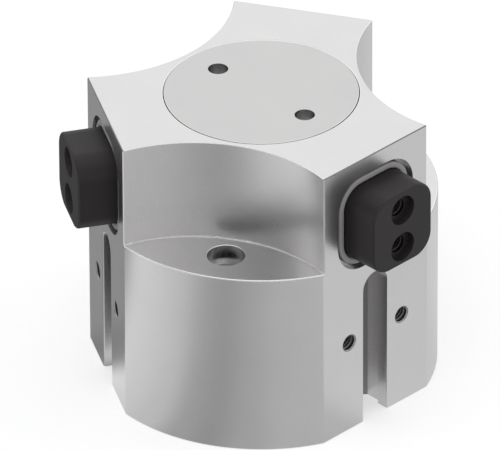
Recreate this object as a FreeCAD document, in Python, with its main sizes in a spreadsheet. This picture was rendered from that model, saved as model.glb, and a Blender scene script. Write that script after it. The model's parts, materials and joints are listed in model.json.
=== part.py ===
import FreeCAD, Part
import math
import os
import Sketcher

# Three jaw centric gripper, pneumatic, double acting, parallel jaws.
# The axis of the round body is Z and its mounting face is Z = 0. Jaw 1 slides along +X and the
# other two follow at 120 and 240 degrees. Everything is drawn with the jaws fully open, which is
# the piston's upper end of travel. Lengths are millimetres.

ARMS = 3
TURN = 360 / ARMS
LOBE = TURN / 2
UP = FreeCAD.Vector(0, 0, 1)

SIZES = (
    ("body_radius", 28.0, "round body, outside"),
    ("flat_depth", 2.5, "each flat below the round"),
    ("scallop_wall", 1.0, "waist of the head outside the cover"),
    ("scallop_land", 0.1, "flat left beside a scallop at the corner"),
    ("scallop_foot", 0.3, "radius at the foot of a scallop"),
    ("ledge_lift", 0.65, "ledge above the underside of the jaws"),
    ("roof", 3.6, "head above the jaw guides"),
    ("corner_break", 0.2, "bevel on the upright corners of the head"),
    ("top_break", 0.15, "bevel round the top"),
    ("rim_break", 0.25, "bevel round the base bore and the turned ends"),
    ("ledge_break", 0.22, "width of the bevel along a ledge"),
    ("bore_radius", 16.0, "cylinder bore"),
    ("base_lip", 0.7, "body below the retaining ring"),
    ("ring_thickness", 1.2, "retaining ring and its groove"),
    ("ring_depth", 0.8, "retaining ring groove beyond the end cap"),
    ("ring_width", 2.2, "retaining ring, radially"),
    ("ring_lug", 1.7, "radius of a retaining ring lug"),
    ("ring_lug_hole", 0.75, "radius of the plier hole in a lug"),
    ("ring_gap", 3.4, "half the opening of the retaining ring"),
    ("cap_step", 1.0, "end cap beyond the cylinder bore"),
    ("cap_thickness", 3.8, "end cap"),
    ("cap_relief_radius", 4.6, "recess in the end cap for the piston screw"),
    ("cap_relief_depth", 2.6, "depth of that recess"),
    ("cap_bevel", 0.8, "bevel on the inner rim of the end cap"),
    ("o_ring_section", 0.85, "section radius of the end cap seal"),
    ("o_ring_room", 0.1, "room round that seal in its groove"),
    ("bumper_gap", 0.25, "piston face to cylinder end at a limit"),
    ("bumper_proud", 0.2, "bumper above the piston face"),
    ("bumper_thickness", 1.0, "bumper ring"),
    ("bumper_radius", 9.2, "bumper ring, middle"),
    ("bumper_width", 2.4, "bumper ring, radially"),
    ("piston_gap", 0.1, "piston to bore"),
    ("piston_relief", 1.2, "bevel on both piston rims"),
    ("piston_land", 0.3, "piston land beside each groove"),
    ("piston_web", 0.8, "piston between its two grooves"),
    ("seal_width", 2.0, "piston seal groove"),
    ("seal_depth", 2.2, "depth of that groove"),
    ("wear_width", 2.2, "wear ring groove"),
    ("wear_depth", 1.0, "depth of that groove"),
    ("magnet_wall", 1.1, "piston between the seal groove and the magnet"),
    ("magnet_width", 3.6, "magnet ring, radially"),
    ("magnet_height", 2.8, "magnet ring"),
    ("plate_lap", 0.4, "magnet plate beyond the magnet"),
    ("plate_thickness", 1.0, "magnet plate"),
    ("rod_radius", 4.0, "piston rod"),
    ("rod_seat", 1.5, "depth of the rod's seat in the piston"),
    ("wall_thickness", 4.8, "wall between cylinder and lever chamber"),
    ("bush_width", 1.4, "rod bush, radially"),
    ("bush_height", 1.9, "rod bush"),
    ("gland_lip", 0.7, "wall below the rod seal"),
    ("gland_width", 1.8, "rod seal groove, radially"),
    ("gland_height", 1.9, "rod seal groove"),
    ("running_gap", 0.05, "radial room of a running fit"),
    ("seat_gap", 0.05, "radial room of a fixed fit"),
    ("screw_radius", 2.0, "screws of the piston and the rod head"),
    ("screw_length", 6.6, "grip of the rod head screw below its head"),
    ("screw_head_radius", 3.5, "their heads"),
    ("screw_head_height", 2.2, "height of those heads"),
    ("screw_socket", 2.5, "hexagon socket across its flats"),
    ("socket_depth", 1.3, "depth of a socket"),
    ("jaw_stroke", 3.9, "travel of each jaw"),
    ("lever_rise", 9.3, "pivot to knuckle, the lever square"),
    ("lever_reach", 6.8, "pivot to toe"),
    ("lever_thickness", 4.0, "lever"),
    ("lever_room", 0.1, "room each side of a lever"),
    ("pivot_lift", 5.1, "pivot above the wall"),
    ("pivot_inset", 2.2, "pivot inside the chamber wall"),
    ("pin_radius", 1.5, "lever pin"),
    ("boss_wall", 1.1, "lever boss round its pin"),
    ("knuckle_radius", 1.5, "round ends of a lever"),
    ("shank_half", 1.1, "half the lever arm at its ends"),
    ("shank_taper", 0.5, "how much that half grows at the boss"),
    ("spool_room", 0.05, "room each side of a toe in the rod head"),
    ("spool_foot", 1.6, "lower flange of the rod head"),
    ("spool_crown", 1.8, "upper flange of the rod head"),
    ("spool_lap", 1.0, "flanges beyond the middle of the toes"),
    ("spool_wall", 1.45, "rod head between its screw and its groove"),
    ("spool_core_gap", 0.2, "toes to the core of the rod head"),
    ("carrier_base", 2.0, "closed ring at the foot of the carrier"),
    ("carrier_gap", 0.6, "carrier below the jaws"),
    ("carrier_bore_gap", 0.6, "carrier to the rod head"),
    ("carrier_screw_place", 10.2, "carrier screws from the axis"),
    ("carrier_screw_radius", 1.25, "carrier screw"),
    ("carrier_head_radius", 2.25, "head of a carrier screw"),
    ("carrier_head_height", 2.4, "height of that head"),
    ("carrier_socket", 2.0, "its hexagon socket across flats"),
    ("carrier_grip", 3.4, "carrier screw inside the wall"),
    ("cover_gap", 0.75, "top cover above the jaws"),
    ("seat_width", 1.3, "shoulder below the top cover"),
    ("seam_break", 0.2, "bevel round the cover's seat and the lower edge of the cover"),
    ("spanner_place", 9.72, "spanner holes from the axis"),
    ("spanner_radius", 1.6, "spanner hole"),
    ("spanner_depth", 2.8, "depth of a spanner hole"),
    ("jaw_width", 13.0, "jaw across its slide"),
    ("jaw_height", 13.4, "jaw"),
    ("jaw_corner", 3.7, "radius of the jaw's corners"),
    ("jaw_stand", 6.0, "open jaw beyond its flat"),
    ("jaw_tail", 4.35, "jaw behind the knuckle"),
    ("jaw_over_knuckle", 1.55, "middle of the jaw above the square lever's knuckle"),
    ("jaw_break", 0.25, "bevel round the jaw's end"),
    ("slot_mouth", 2.8, "half the jaw slot at its mouth"),
    ("slot_roof", 0.5, "room above the knuckle"),
    ("slot_side", 0.15, "room each side of the lever in the jaw"),
    ("finger_pitch", 6.75, "between the two holes of a jaw"),
    ("centring_radius", 2.5, "centring counterbore of a jaw hole"),
    ("centring_depth", 1.3, "depth of that counterbore"),
    ("finger_thread", 1.25, "core radius of the thread behind it"),
    ("finger_thread_depth", 8.0, "depth of that thread from the face"),
    ("guide_wall", 1.15, "wall of a jaw guide"),
    ("guide_inset", 0.5, "inner end of a guide beyond the cover"),
    ("guide_recess", 0.3, "outer end of a guide below the flat"),
    ("pocket_gap", 0.65, "groove round the end of a guide"),
    ("pocket_depth", 2.0, "depth of that groove below the flat"),
    ("mount_place", 21.3, "mounting holes from the axis"),
    ("mount_radius", 1.7, "mounting hole"),
    ("counterbore_radius", 3.0, "counterbore for the mounting screw"),
    ("counterbore_depth", 3.0, "depth of that counterbore"),
    ("slot_opening", 5.2, "sensor slot at the flat"),
    ("slot_lip", 2.0, "lips of the sensor slot"),
    ("slot_undercut", 0.65, "sensor slot behind a lip"),
    ("slot_straight", 3.0, "straight part of the undercut"),
    ("slot_taper", 0.8, "tapered part, down to the floor"),
    ("slot_land", 2.3, "slot's round end below the pocket"),
    ("side_place", 5.85, "threaded holes from the middle of a flat"),
    ("side_height", 16.3, "threaded holes above the base"),
    ("side_thread", 1.25, "core radius of those threads"),
    ("side_thread_depth", 6.0, "depth of those threads"),
    ("side_bevel", 1.6, "radius of the bevel at their mouths"),
    ("port_thread", 2.1, "core radius of an air port's thread"),
    ("port_thread_depth", 6.5, "depth of that thread"),
    ("port_face", 4.2, "spot face round a port"),
    ("port_passage", 0.8, "passage from port to cylinder"),
    ("port_edge", 0.2, "passage to the end of the cylinder"),
)
PORT_ANGLE = 18  # degrees from the middle of the back lobe to each air port

doc = FreeCAD.newDocument("three_jaw_centric_gripper")
sheet = doc.addObject("Spreadsheet::Sheet", "size")
for row, (alias, millimetres, meaning) in enumerate(SIZES, start=1):
    sheet.set(f"A{row}", alias)
    sheet.set(f"B{row}", str(millimetres))
    sheet.set(f"C{row}", meaning)
    sheet.setAlias(f"B{row}", alias)
doc.recompute()

# Heights that follow from the sizes, from the base up.
CAP_BASE = "(size.base_lip + size.ring_thickness)"
CAP_TOP = f"({CAP_BASE} + size.cap_thickness)"
PISTON_HEIGHT = (
    "(2 * size.piston_relief + 2 * size.piston_land + size.wear_width"
    " + size.piston_web + size.seal_width)"
)
TRAVEL = "(size.jaw_stroke * size.lever_reach / size.lever_rise)"
WALL_BASE = f"({CAP_TOP} + {PISTON_HEIGHT} + {TRAVEL} + 2 * size.bumper_gap)"
PISTON_BASE = f"({WALL_BASE} - size.bumper_gap - {PISTON_HEIGHT})"
WALL_TOP = f"({WALL_BASE} + size.wall_thickness)"
PIVOT_HEIGHT = f"({WALL_TOP} + size.pivot_lift)"
TOE_HEIGHT = f"({PIVOT_HEIGHT} + {TRAVEL} / 2)"
JAW_MIDDLE = f"({PIVOT_HEIGHT} + size.lever_rise + size.jaw_over_knuckle)"
JAW_BASE = f"({JAW_MIDDLE} - size.jaw_height / 2)"
JAW_TOP = f"({JAW_MIDDLE} + size.jaw_height / 2)"
LEDGE = f"({JAW_BASE} + size.ledge_lift)"
COVER_BASE = f"({JAW_TOP} + size.cover_gap)"
TOP = f"({JAW_TOP} + size.guide_wall + size.roof)"

# Distances from the axis.
FLAT = "(size.body_radius - size.flat_depth)"
FLAT_HALF = f"(sqrt(size.body_radius^2 - {FLAT}^2))"
CAP_RADIUS = "(size.bore_radius + size.cap_step)"
PISTON_RADIUS = "(size.bore_radius - size.piston_gap)"
SEAL_FLOOR = f"({PISTON_RADIUS} - size.seal_depth)"
MAGNET_OUTER = f"({SEAL_FLOOR} - size.magnet_wall)"
MAGNET_INNER = f"({MAGNET_OUTER} - size.magnet_width)"
PLATE_RADIUS = f"({MAGNET_OUTER} + size.plate_lap)"
SPOOL_CORE = "(size.screw_radius + size.seat_gap + size.spool_wall)"
TOE = f"({SPOOL_CORE} + size.spool_core_gap + size.knuckle_radius)"
PIVOT = f"({TOE} + size.lever_reach)"
CHAMBER = f"({PIVOT} + size.pivot_inset)"
COVER_RADIUS = f"({CHAMBER} + size.seat_width)"
KNUCKLE = f"({PIVOT} + size.jaw_stroke / 2)"
BOSS = "(size.pin_radius + size.boss_wall)"
SPOOL_RADIUS = f"({TOE} + size.spool_lap)"
GUIDE_INNER = f"({COVER_RADIUS} + size.guide_inset)"
TILT = "asin(size.jaw_stroke / (2 * size.lever_rise))"


def value(expression):
    """What an expression over the sizes comes to."""
    result = sheet.evalExpression(expression)
    return float(getattr(result, "Value", result))


def new_body(name, arm=0):
    """A sub-part, drawn on the X side and turned to its arm."""
    body = doc.addObject("PartDesign::Body", name)
    body.Label = name
    body.Placement = FreeCAD.Placement(FreeCAD.Vector(), FreeCAD.Rotation(UP, arm * TURN))
    return body


def new_sketch(body, name, role, lift="0"):
    """A sketch on one of the body's own planes, lifted along the plane's normal."""
    sketch = body.newObject("Sketcher::SketchObject", f"{body.Name}_{name}_sketch")
    plane = next(item for item in body.Origin.OriginFeatures if item.Role == role)
    sketch.AttachmentSupport = (plane, [""])
    sketch.MapMode = "FlatFace"
    sketch.setExpression(".AttachmentOffset.Base.z", lift)
    return sketch


def tie(sketch, kind, references, expression):
    """Add a constraint whose value is an expression."""
    index = sketch.addConstraint(Sketcher.Constraint(kind, *references, value(expression)))
    sketch.setExpression(f"Constraints[{index}]", expression)


def hold(sketch, geometry, point, x, y):
    """Fix a sketch point at two expressions; a plain 0 puts it on the sketch's axis."""
    for kind, axis, expression in (("DistanceX", -2, x), ("DistanceY", -1, y)):
        if expression == "0":
            sketch.addConstraint(Sketcher.Constraint("PointOnObject", geometry, point, axis))
        else:
            tie(sketch, kind, (-1, 1, geometry, point), expression)


def circle(sketch, x, y, radius):
    """Draw a circle."""
    centre = FreeCAD.Vector(value(x), value(y), 0)
    geometry = sketch.addGeometry(Part.Circle(centre, UP, value(radius)))
    hold(sketch, geometry, 3, x, y)
    tie(sketch, "Radius", (geometry,), radius)


def axis_line(sketch, start, finish):
    """Draw a construction line to turn a profile round."""
    places = [FreeCAD.Vector(value(x), value(y), 0) for x, y in (start, finish)]
    geometry = sketch.addGeometry(Part.LineSegment(*places), True)
    hold(sketch, geometry, 1, *start)
    hold(sketch, geometry, 2, *finish)


def bent_run(start, finish, radius):
    """The short anticlockwise arc from start to finish."""
    chord = finish - start
    half = chord.Length / 2
    sideways = FreeCAD.Vector(-chord.y, chord.x, 0).normalize()
    centre = (start + finish) * 0.5 + sideways * math.sqrt(max(radius**2 - half**2, 0))
    angles = [math.atan2(place.y - centre.y, place.x - centre.x) for place in (start, finish)]
    return Part.ArcOfCircle(Part.Circle(centre, UP, radius), *angles)


def outline(sketch, corners):
    """Draw a closed outline through corners (x, y), with (x, y, radius) before an arc."""
    places = [FreeCAD.Vector(value(corner[0]), value(corner[1]), 0) for corner in corners]
    runs = []
    for corner, start, finish in zip(corners, places, places[1:] + places[:1]):
        if len(corner) == 2:
            runs.append(sketch.addGeometry(Part.LineSegment(start, finish)))
        else:
            runs.append(sketch.addGeometry(bent_run(start, finish, value(corner[2]))))
            tie(sketch, "Radius", runs[-1:], corner[2])
    for corner, run, before in zip(corners, runs, runs[-1:] + runs):
        sketch.addConstraint(Sketcher.Constraint("Coincident", before, 2, run, 1))
        hold(sketch, run, 1, corner[0], corner[1])


def rectangle(sketch, left, bottom, right, top):
    """Draw a rectangle."""
    outline(sketch, ((left, bottom), (right, bottom), (right, top), (left, top)))


def rounded_square(sketch, offset):
    """Draw the jaw's section, larger all round by an offset."""
    wide, tall = f"(size.jaw_width / 2 + {offset})", f"(size.jaw_height / 2 + {offset})"
    radius = f"(size.jaw_corner + {offset})"
    near_x, near_y = f"({wide} - {radius})", f"({tall} - {radius})"
    low, high = f"{JAW_MIDDLE} - {near_y}", f"{JAW_MIDDLE} + {near_y}"
    floor, ceiling = f"{JAW_MIDDLE} - {tall}", f"{JAW_MIDDLE} + {tall}"
    outline(sketch, (
        (f"-{near_x}", floor), (near_x, floor, radius),
        (wide, low), (wide, high, radius),
        (near_x, ceiling), (f"-{near_x}", ceiling, radius),
        (f"-{wide}", high), (f"-{wide}", low, radius),
    ))


def pad(body, name, sketch, length, symmetric=False):
    """Grow a sketch into a solid."""
    feature = body.newObject("PartDesign::Pad", f"{body.Name}_{name}")
    feature.Profile = sketch
    feature.setExpression("Length", length)
    feature.SideType = "Symmetric" if symmetric else "One side"
    return feature


def pocket(body, name, sketch, length, symmetric=False, upward=False):
    """Cut a sketch into a solid, against the sketch's normal unless it goes upward."""
    feature = body.newObject("PartDesign::Pocket", f"{body.Name}_{name}")
    feature.Profile = sketch
    feature.setExpression("Length", length)
    feature.SideType = "Symmetric" if symmetric else "One side"
    feature.Reversed = upward
    return feature


def turned(body, kind, name, sketch, axis="V_Axis"):
    """Turn a profile full circle, as a Revolution or a Groove."""
    feature = body.newObject(f"PartDesign::{kind}", f"{body.Name}_{name}")
    feature.Profile = sketch
    feature.ReferenceAxis = (sketch, [axis])
    feature.Angle = 360
    return feature


def turned_part(name, *profiles):
    """A sub-part turned from outlines of (radius, height) corners about its own axis."""
    body = new_body(name)
    for number, profile in enumerate(profiles):
        sketch = new_sketch(body, f"profile_{number}", "XZ_Plane")
        outline(sketch, profile)
        turned(body, "Revolution" if number == 0 else "Groove", f"turning_{number}", sketch)
    return body


def ring_part(name, inner, outer, base, height):
    """A plain ring."""
    top = f"{base} + {height}"
    return turned_part(name, ((inner, base), (outer, base), (outer, top), (inner, top)))


def hole(body, name, sketch, radius, depth=None, cut_type="None", cut_radius="0", cut_depth="0"):
    """Drill the circles of a sketch, with a counterbore or a countersink."""
    doc.recompute()
    feature = body.newObject("PartDesign::Hole", f"{body.Name}_{name}")
    feature.Profile = sketch
    feature.ThreadType = "None"
    feature.DrillPoint = "Flat"
    feature.DepthType = "ThroughAll" if depth is None else "Dimension"
    feature.HoleCutType = cut_type
    feature.setExpression("Diameter", f"2 * {radius}")
    if depth is not None:
        feature.setExpression("Depth", depth)
    if cut_type != "None":
        feature.HoleCutCustomValues = True
        feature.setExpression("HoleCutDiameter", f"2 * {cut_radius}")
        feature.setExpression("HoleCutDepth", cut_depth)
    return feature


def round_the_axis(body, name, *features):
    """Repeat features once for each arm."""
    pattern = body.newObject("PartDesign::PolarPattern", f"{body.Name}_{name}")
    pattern.Originals = list(features)
    pattern.Axis = (next(item for item in body.Origin.OriginFeatures if item.Role == "Z_Axis"), [""])
    pattern.Angle = 360
    pattern.Occurrences = ARMS
    body.Tip = pattern
    return pattern


def bevel(body, name, size, wanted):
    """Bevel the edges that a test picks from the body so far."""
    doc.recompute()
    base = body.Tip
    edges = [f"Edge{number}" for number, edge in enumerate(base.Shape.Edges, start=1) if wanted(edge)]
    feature = body.newObject("PartDesign::Chamfer", f"{body.Name}_{name}")
    feature.Base = (base, edges)
    feature.setExpression("Size", size)
    return feature


def edge_in_plane(direction, distance):
    """A test for edges that lie in the plane at a distance along a direction."""
    def wanted(edge):
        return all(abs(vertex.Point.dot(direction) - distance) < 1e-4 for vertex in edge.Vertexes)
    return wanted


def housing_blank(body):
    """The round body with its three flats and the three scallops of its head."""
    blank = new_sketch(body, "blank", "XY_Plane")
    circle(blank, "0", "0", "size.body_radius")
    pad(body, "blank", blank, TOP)

    flat = new_sketch(body, "flat", "XY_Plane")
    rectangle(flat, FLAT, "-size.body_radius", "2 * size.body_radius", "size.body_radius")
    flat_cut = pocket(body, "flat", flat, TOP, upward=True)
    round_the_axis(body, "flats", flat_cut)

    # A scallop is milled by a round tool whose own axis stands outside the lobe. The tool passes
    # through the waist of the head and just inside the corners of the two flats beside it.
    waist = f"({COVER_RADIUS} + size.scallop_wall)"
    corner = f"({FLAT_HALF} - size.scallop_land)"
    along = f"({FLAT} * cos({LOBE}) + {corner} * sin({LOBE}))"
    across = f"({FLAT} * sin({LOBE}) - {corner} * cos({LOBE}))"
    centre = f"(({along}^2 + {across}^2 - {waist}^2) / (2 * ({along} - {waist})))"
    scallop = new_sketch(body, "scallop", "XZ_Plane")
    outline(scallop, (
        (f"-{centre}", LEDGE),
        (f"-({waist} + size.scallop_foot)", LEDGE, "size.scallop_foot"),
        (f"-{waist}", f"{LEDGE} + size.scallop_foot"),
        (f"-{waist}", TOP),
        (f"-{centre}", TOP),
    ))
    axis_line(scallop, (f"-{centre}", LEDGE), (f"-{centre}", TOP))
    scallop_cut = turned(body, "Groove", "scallop", scallop, "Axis0")
    round_the_axis(body, "scallops", scallop_cut)

    # The sharp upright corners of the head are broken by a narrow bevel down to the ledge.
    breaks = []
    for side, sign in (("left", ""), ("right", "-")):
        sketch = new_sketch(body, f"{side}_break", "XY_Plane", TOP)
        outline(sketch, (
            (FLAT, f"{sign}({corner} - size.corner_break)"),
            (f"{FLAT} + size.corner_break", f"{sign}{corner}"),
            (f"{FLAT} + size.corner_break", f"{sign}({corner} + 2 * size.corner_break)"),
            (f"{FLAT} - size.corner_break", f"{sign}({corner} + 2 * size.corner_break)"),
            (f"{FLAT} - size.corner_break", f"{sign}{corner}"),
        ))
        breaks.append(pocket(body, f"{side}_break", sketch, f"{TOP} - {LEDGE}"))
    round_the_axis(body, "breaks", *breaks)


def housing_cavity(body):
    """Everything that is turned about the main axis, from the base up to the cover's seat."""
    lead = "size.rim_break"
    ring_floor = f"({CAP_RADIUS} + size.ring_depth)"
    rod_hole = "(size.rod_radius + 2 * size.running_gap)"
    gland = f"({rod_hole} + size.gland_width)"
    bush = f"({rod_hole} + size.bush_width)"
    gland_base = f"({WALL_BASE} + size.gland_lip)"
    gland_top = f"({gland_base} + size.gland_height)"
    bush_base = f"({WALL_TOP} - size.bush_height)"
    cavity = new_sketch(body, "cavity", "XZ_Plane")
    outline(cavity, (
        ("0", "0"),
        (f"{CAP_RADIUS} + {lead}", "0"),
        (CAP_RADIUS, lead),
        (CAP_RADIUS, "size.base_lip"),
        (ring_floor, "size.base_lip"),
        (ring_floor, CAP_BASE),
        (CAP_RADIUS, CAP_BASE),
        (CAP_RADIUS, CAP_TOP),
        ("size.bore_radius", CAP_TOP),
        ("size.bore_radius", WALL_BASE),
        (rod_hole, WALL_BASE),
        (rod_hole, gland_base),
        (gland, gland_base),
        (gland, gland_top),
        (rod_hole, gland_top),
        (rod_hole, bush_base),
        (bush, bush_base),
        (bush, WALL_TOP),
        (CHAMBER, WALL_TOP),
        (CHAMBER, COVER_BASE),
        (COVER_RADIUS, COVER_BASE),
        (COVER_RADIUS, f"{TOP} - size.seam_break"),
        (f"{COVER_RADIUS} + size.seam_break", TOP),
        ("0", TOP),
    ))
    turned(body, "Groove", "cavity", cavity)


def housing_arms(body):
    """What each of the three arms has: jaw guide bore, sensor slot, lever well and side threads."""
    bore = new_sketch(body, "guide_bore", "YZ_Plane", FLAT)
    rounded_square(bore, "size.guide_wall")
    half_bore = "(size.jaw_width / 2 + size.guide_wall)"
    reach = f"{FLAT} - sqrt({CHAMBER}^2 - {half_bore}^2) + size.guide_wall"
    guide_bore = pocket(body, "guide_bore", bore, reach)

    groove = new_sketch(body, "guide_groove", "YZ_Plane", FLAT)
    rounded_square(groove, "(size.guide_wall + size.pocket_gap)")
    guide_groove = pocket(body, "guide_groove", groove, "size.pocket_depth")

    # The slot is milled by a cutter with a tapered foot, which leaves a round end of that shape.
    half = "(size.slot_opening / 2)"
    wide = f"({half} + size.slot_undercut)"
    lip = f"({FLAT} - size.slot_lip)"
    deep = f"({lip} - size.slot_straight)"
    floor = f"({deep} - size.slot_taper)"
    pocket_base = f"({JAW_BASE} - size.guide_wall - size.pocket_gap)"
    end = f"({pocket_base} - size.slot_land - {half})"
    section = new_sketch(body, "sensor_slot", "XY_Plane")
    outline(section, (
        (f"{FLAT} + size.slot_lip", f"-{half}"), (f"{FLAT} + size.slot_lip", half),
        (lip, half), (lip, wide), (deep, wide), (floor, f"{wide} - size.slot_taper"),
        (floor, f"-({wide} - size.slot_taper)"), (deep, f"-{wide}"), (lip, f"-{wide}"),
        (lip, f"-{half}"),
    ))
    slot = pocket(body, "sensor_slot", section, end, upward=True)
    cutter = new_sketch(body, "slot_end", "XZ_Plane")
    outline(cutter, (
        (FLAT, end), (FLAT, f"{end} + {half}"), (lip, f"{end} + {half}"), (lip, f"{end} + {wide}"),
        (deep, f"{end} + {wide}"), (floor, f"{end} + {wide} - size.slot_taper"), (floor, end),
    ))
    axis_line(cutter, (floor, end), (FLAT, end))
    slot_end = turned(body, "Groove", "slot_end", cutter, "Axis0")

    well = new_sketch(body, "lever_well", "XY_Plane", WALL_TOP)
    well_half = "(size.lever_thickness / 2 + 2 * size.lever_room + size.slot_side)"
    rectangle(well, "0", f"-{well_half}", f"{PIVOT} + {BOSS} + 6 * size.lever_room", well_half)
    lever_well = pocket(body, "lever_well", well, f"{JAW_BASE} - {WALL_TOP}", upward=True)

    threads = new_sketch(body, "side_threads", "YZ_Plane", FLAT)
    for sign in ("", "-"):
        circle(threads, f"{sign}size.side_place", "size.side_height", "size.side_thread")
    side_threads = hole(
        body, "side_threads", threads, "size.side_thread", "size.side_thread_depth",
        "Countersink", "size.side_bevel", "(size.side_bevel - size.side_thread)",
    )
    round_the_axis(body, "arms", guide_bore, guide_groove, slot, slot_end, lever_well, side_threads)


def housing_lobes(body):
    """What each lobe has: a mounting hole from the ledge and a thread for the lever carrier."""
    mount = new_sketch(body, "mount_hole", "XY_Plane", LEDGE)
    circle(mount, "-size.mount_place", "0", "size.mount_radius")
    mount_hole = hole(
        body, "mount_hole", mount, "size.mount_radius", None,
        "Counterbore", "size.counterbore_radius", "size.counterbore_depth",
    )
    thread = new_sketch(body, "carrier_thread", "XY_Plane", WALL_TOP)
    circle(thread, "-size.carrier_screw_place", "0", "size.carrier_screw_radius")
    carrier_thread = pocket(body, "carrier_thread", thread, "size.carrier_grip + size.seat_gap")
    round_the_axis(body, "lobes", mount_hole, carrier_thread)


def housing_ports(body):
    """Two air ports on the lobe opposite jaw 1, beside its mounting hole, for the lower and the
    upper end of the cylinder: a spot face, a thread and a narrow passage to the bore."""
    step = "(size.port_passage + size.port_edge)"
    for name, angle, height in (
        ("low", PORT_ANGLE, f"({CAP_TOP} + {step})"),
        ("high", -PORT_ANGLE, f"({WALL_BASE} - {step})"),
    ):
        face = "(sqrt(size.body_radius^2 - size.port_face^2))"
        bottom = "(size.body_radius - size.port_thread_depth)"
        inside = "(size.bore_radius - size.port_passage)"
        sketch = new_sketch(body, f"{name}_port", "XZ_Plane")
        sketch.AttachmentOffset = FreeCAD.Placement(
            FreeCAD.Vector(), FreeCAD.Rotation(FreeCAD.Vector(0, 1, 0), angle)
        )
        outline(sketch, (
            (f"-{inside}", height),
            (f"-{inside}", f"{height} + size.port_passage"),
            (f"-{bottom}", f"{height} + size.port_passage"),
            (f"-{bottom}", f"{height} + size.port_thread"),
            (f"-{face}", f"{height} + size.port_thread"),
            (f"-{face}", f"{height} + size.port_face"),
            ("-(size.body_radius + size.port_passage)", f"{height} + size.port_face"),
            ("-(size.body_radius + size.port_passage)", height),
        ))
        axis_line(sketch, (f"-{inside}", height), ("-(size.body_radius + size.port_passage)", height))
        turned(body, "Groove", f"{name}_port", sketch, "Axis0")


def housing_rims(body):
    """The narrow bevels on the outer edge of each ledge and round the top."""
    ledge = new_sketch(body, "ledge_bevel", "XZ_Plane")
    outside = "(size.body_radius + size.rim_break)"
    outline(ledge, (
        ("size.body_radius - size.ledge_break", LEDGE),
        ("size.body_radius", f"{LEDGE} - size.rim_break"),
        (outside, f"{LEDGE} - size.rim_break"),
        (outside, LEDGE),
    ))
    turned(body, "Groove", "ledge_bevel", ledge)

    top, inside = value(TOP), value(f"{COVER_RADIUS} + size.scallop_wall / 2")

    def outer_rim(edge):
        places = [vertex.Point for vertex in edge.Vertexes]
        return all(abs(place.z - top) < 1e-4 and math.hypot(place.x, place.y) > inside for place in places)

    bevel(body, "top_bevel", "size.top_break", outer_rim)


def make_housing():
    """The aluminium body."""
    body = new_body("housing")
    housing_blank(body)
    housing_cavity(body)
    housing_arms(body)
    housing_lobes(body)
    housing_ports(body)
    housing_rims(body)
    return body


def make_end_cap():
    """The cap that closes the cylinder, with its seal groove and the recess for the screw head."""
    outer = f"({CAP_RADIUS} - size.seat_gap)"
    middle = f"({CAP_BASE} + size.cap_thickness / 2)"
    half_groove = "(size.o_ring_section + size.o_ring_room)"
    floor = f"({CAP_RADIUS} - 2 * {half_groove})"
    relief = "size.cap_relief_radius"
    return turned_part("end_cap", (
        ("0", CAP_BASE),
        (f"{outer} - size.rim_break", CAP_BASE),
        (outer, f"{CAP_BASE} + size.rim_break"),
        (outer, f"{middle} - {half_groove}"),
        (floor, f"{middle} - {half_groove}"),
        (floor, f"{middle} + {half_groove}"),
        (outer, f"{middle} + {half_groove}"),
        (outer, f"{CAP_TOP} - size.seat_gap"),
        ("size.bore_radius - size.seat_gap", f"{CAP_TOP} - size.seat_gap"),
        ("size.bore_radius - size.seat_gap - size.cap_bevel", CAP_TOP),
        (relief, CAP_TOP),
        (relief, f"{CAP_TOP} - size.cap_relief_depth"),
        ("0", f"{CAP_TOP} - size.cap_relief_depth"),
    ))


def make_end_cap_seal():
    """The round section seal in the end cap's groove."""
    seal = doc.addObject("Part::Torus", "end_cap_seal")
    seal.Label = "end_cap_seal"
    seal.setExpression("Radius1", f"{CAP_RADIUS} - size.o_ring_section - size.o_ring_room")
    seal.setExpression("Radius2", "size.o_ring_section")
    seal.setExpression(".Placement.Base.z", f"{CAP_BASE} + size.cap_thickness / 2")
    return seal


def make_retaining_ring():
    """The spring ring below the end cap, open on the port side, with two lugs for pliers."""
    body = new_body("retaining_ring")
    outer = f"({CAP_RADIUS} + size.ring_depth - size.seat_gap)"
    inner = f"({outer} - size.ring_width)"
    lug = f"-({inner} - size.ring_lug / 2)"
    lug_side = "(size.ring_gap + size.ring_lug)"
    hoop = new_sketch(body, "hoop", "XY_Plane", "size.base_lip")
    circle(hoop, "0", "0", outer)
    circle(hoop, "0", "0", inner)
    pad(body, "hoop", hoop, "size.ring_thickness")
    lugs = new_sketch(body, "lugs", "XY_Plane", "size.base_lip")
    gap = new_sketch(body, "gap", "XY_Plane", "size.base_lip")
    eyes = new_sketch(body, "eyes", "XY_Plane", "size.base_lip")
    for sign in ("", "-"):
        circle(lugs, lug, f"{sign}{lug_side}", "size.ring_lug")
        circle(eyes, lug, f"{sign}{lug_side}", "size.ring_lug_hole")
    rectangle(gap, f"-2 * {outer}", "-size.ring_gap", lug, "size.ring_gap")
    pad(body, "lugs", lugs, "size.ring_thickness")
    pocket(body, "gap", gap, "size.ring_thickness", upward=True)
    pocket(body, "eyes", eyes, "size.ring_thickness", upward=True)
    return body


def make_gland():
    """The bush and the seal that the rod passes through, in the wall."""
    inner = "(size.rod_radius + size.running_gap)"
    hole_radius = "(size.rod_radius + 2 * size.running_gap)"
    bush = ring_part(
        "rod_bush", inner, f"({hole_radius} + size.bush_width)",
        f"({WALL_TOP} - size.bush_height)", "size.bush_height",
    )
    seal = ring_part(
        "rod_seal", inner, f"({hole_radius} + size.gland_width - size.seat_gap)",
        f"({WALL_BASE} + size.gland_lip + size.seat_gap)", "size.gland_height - 2 * size.seat_gap",
    )
    return bush, seal


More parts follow.
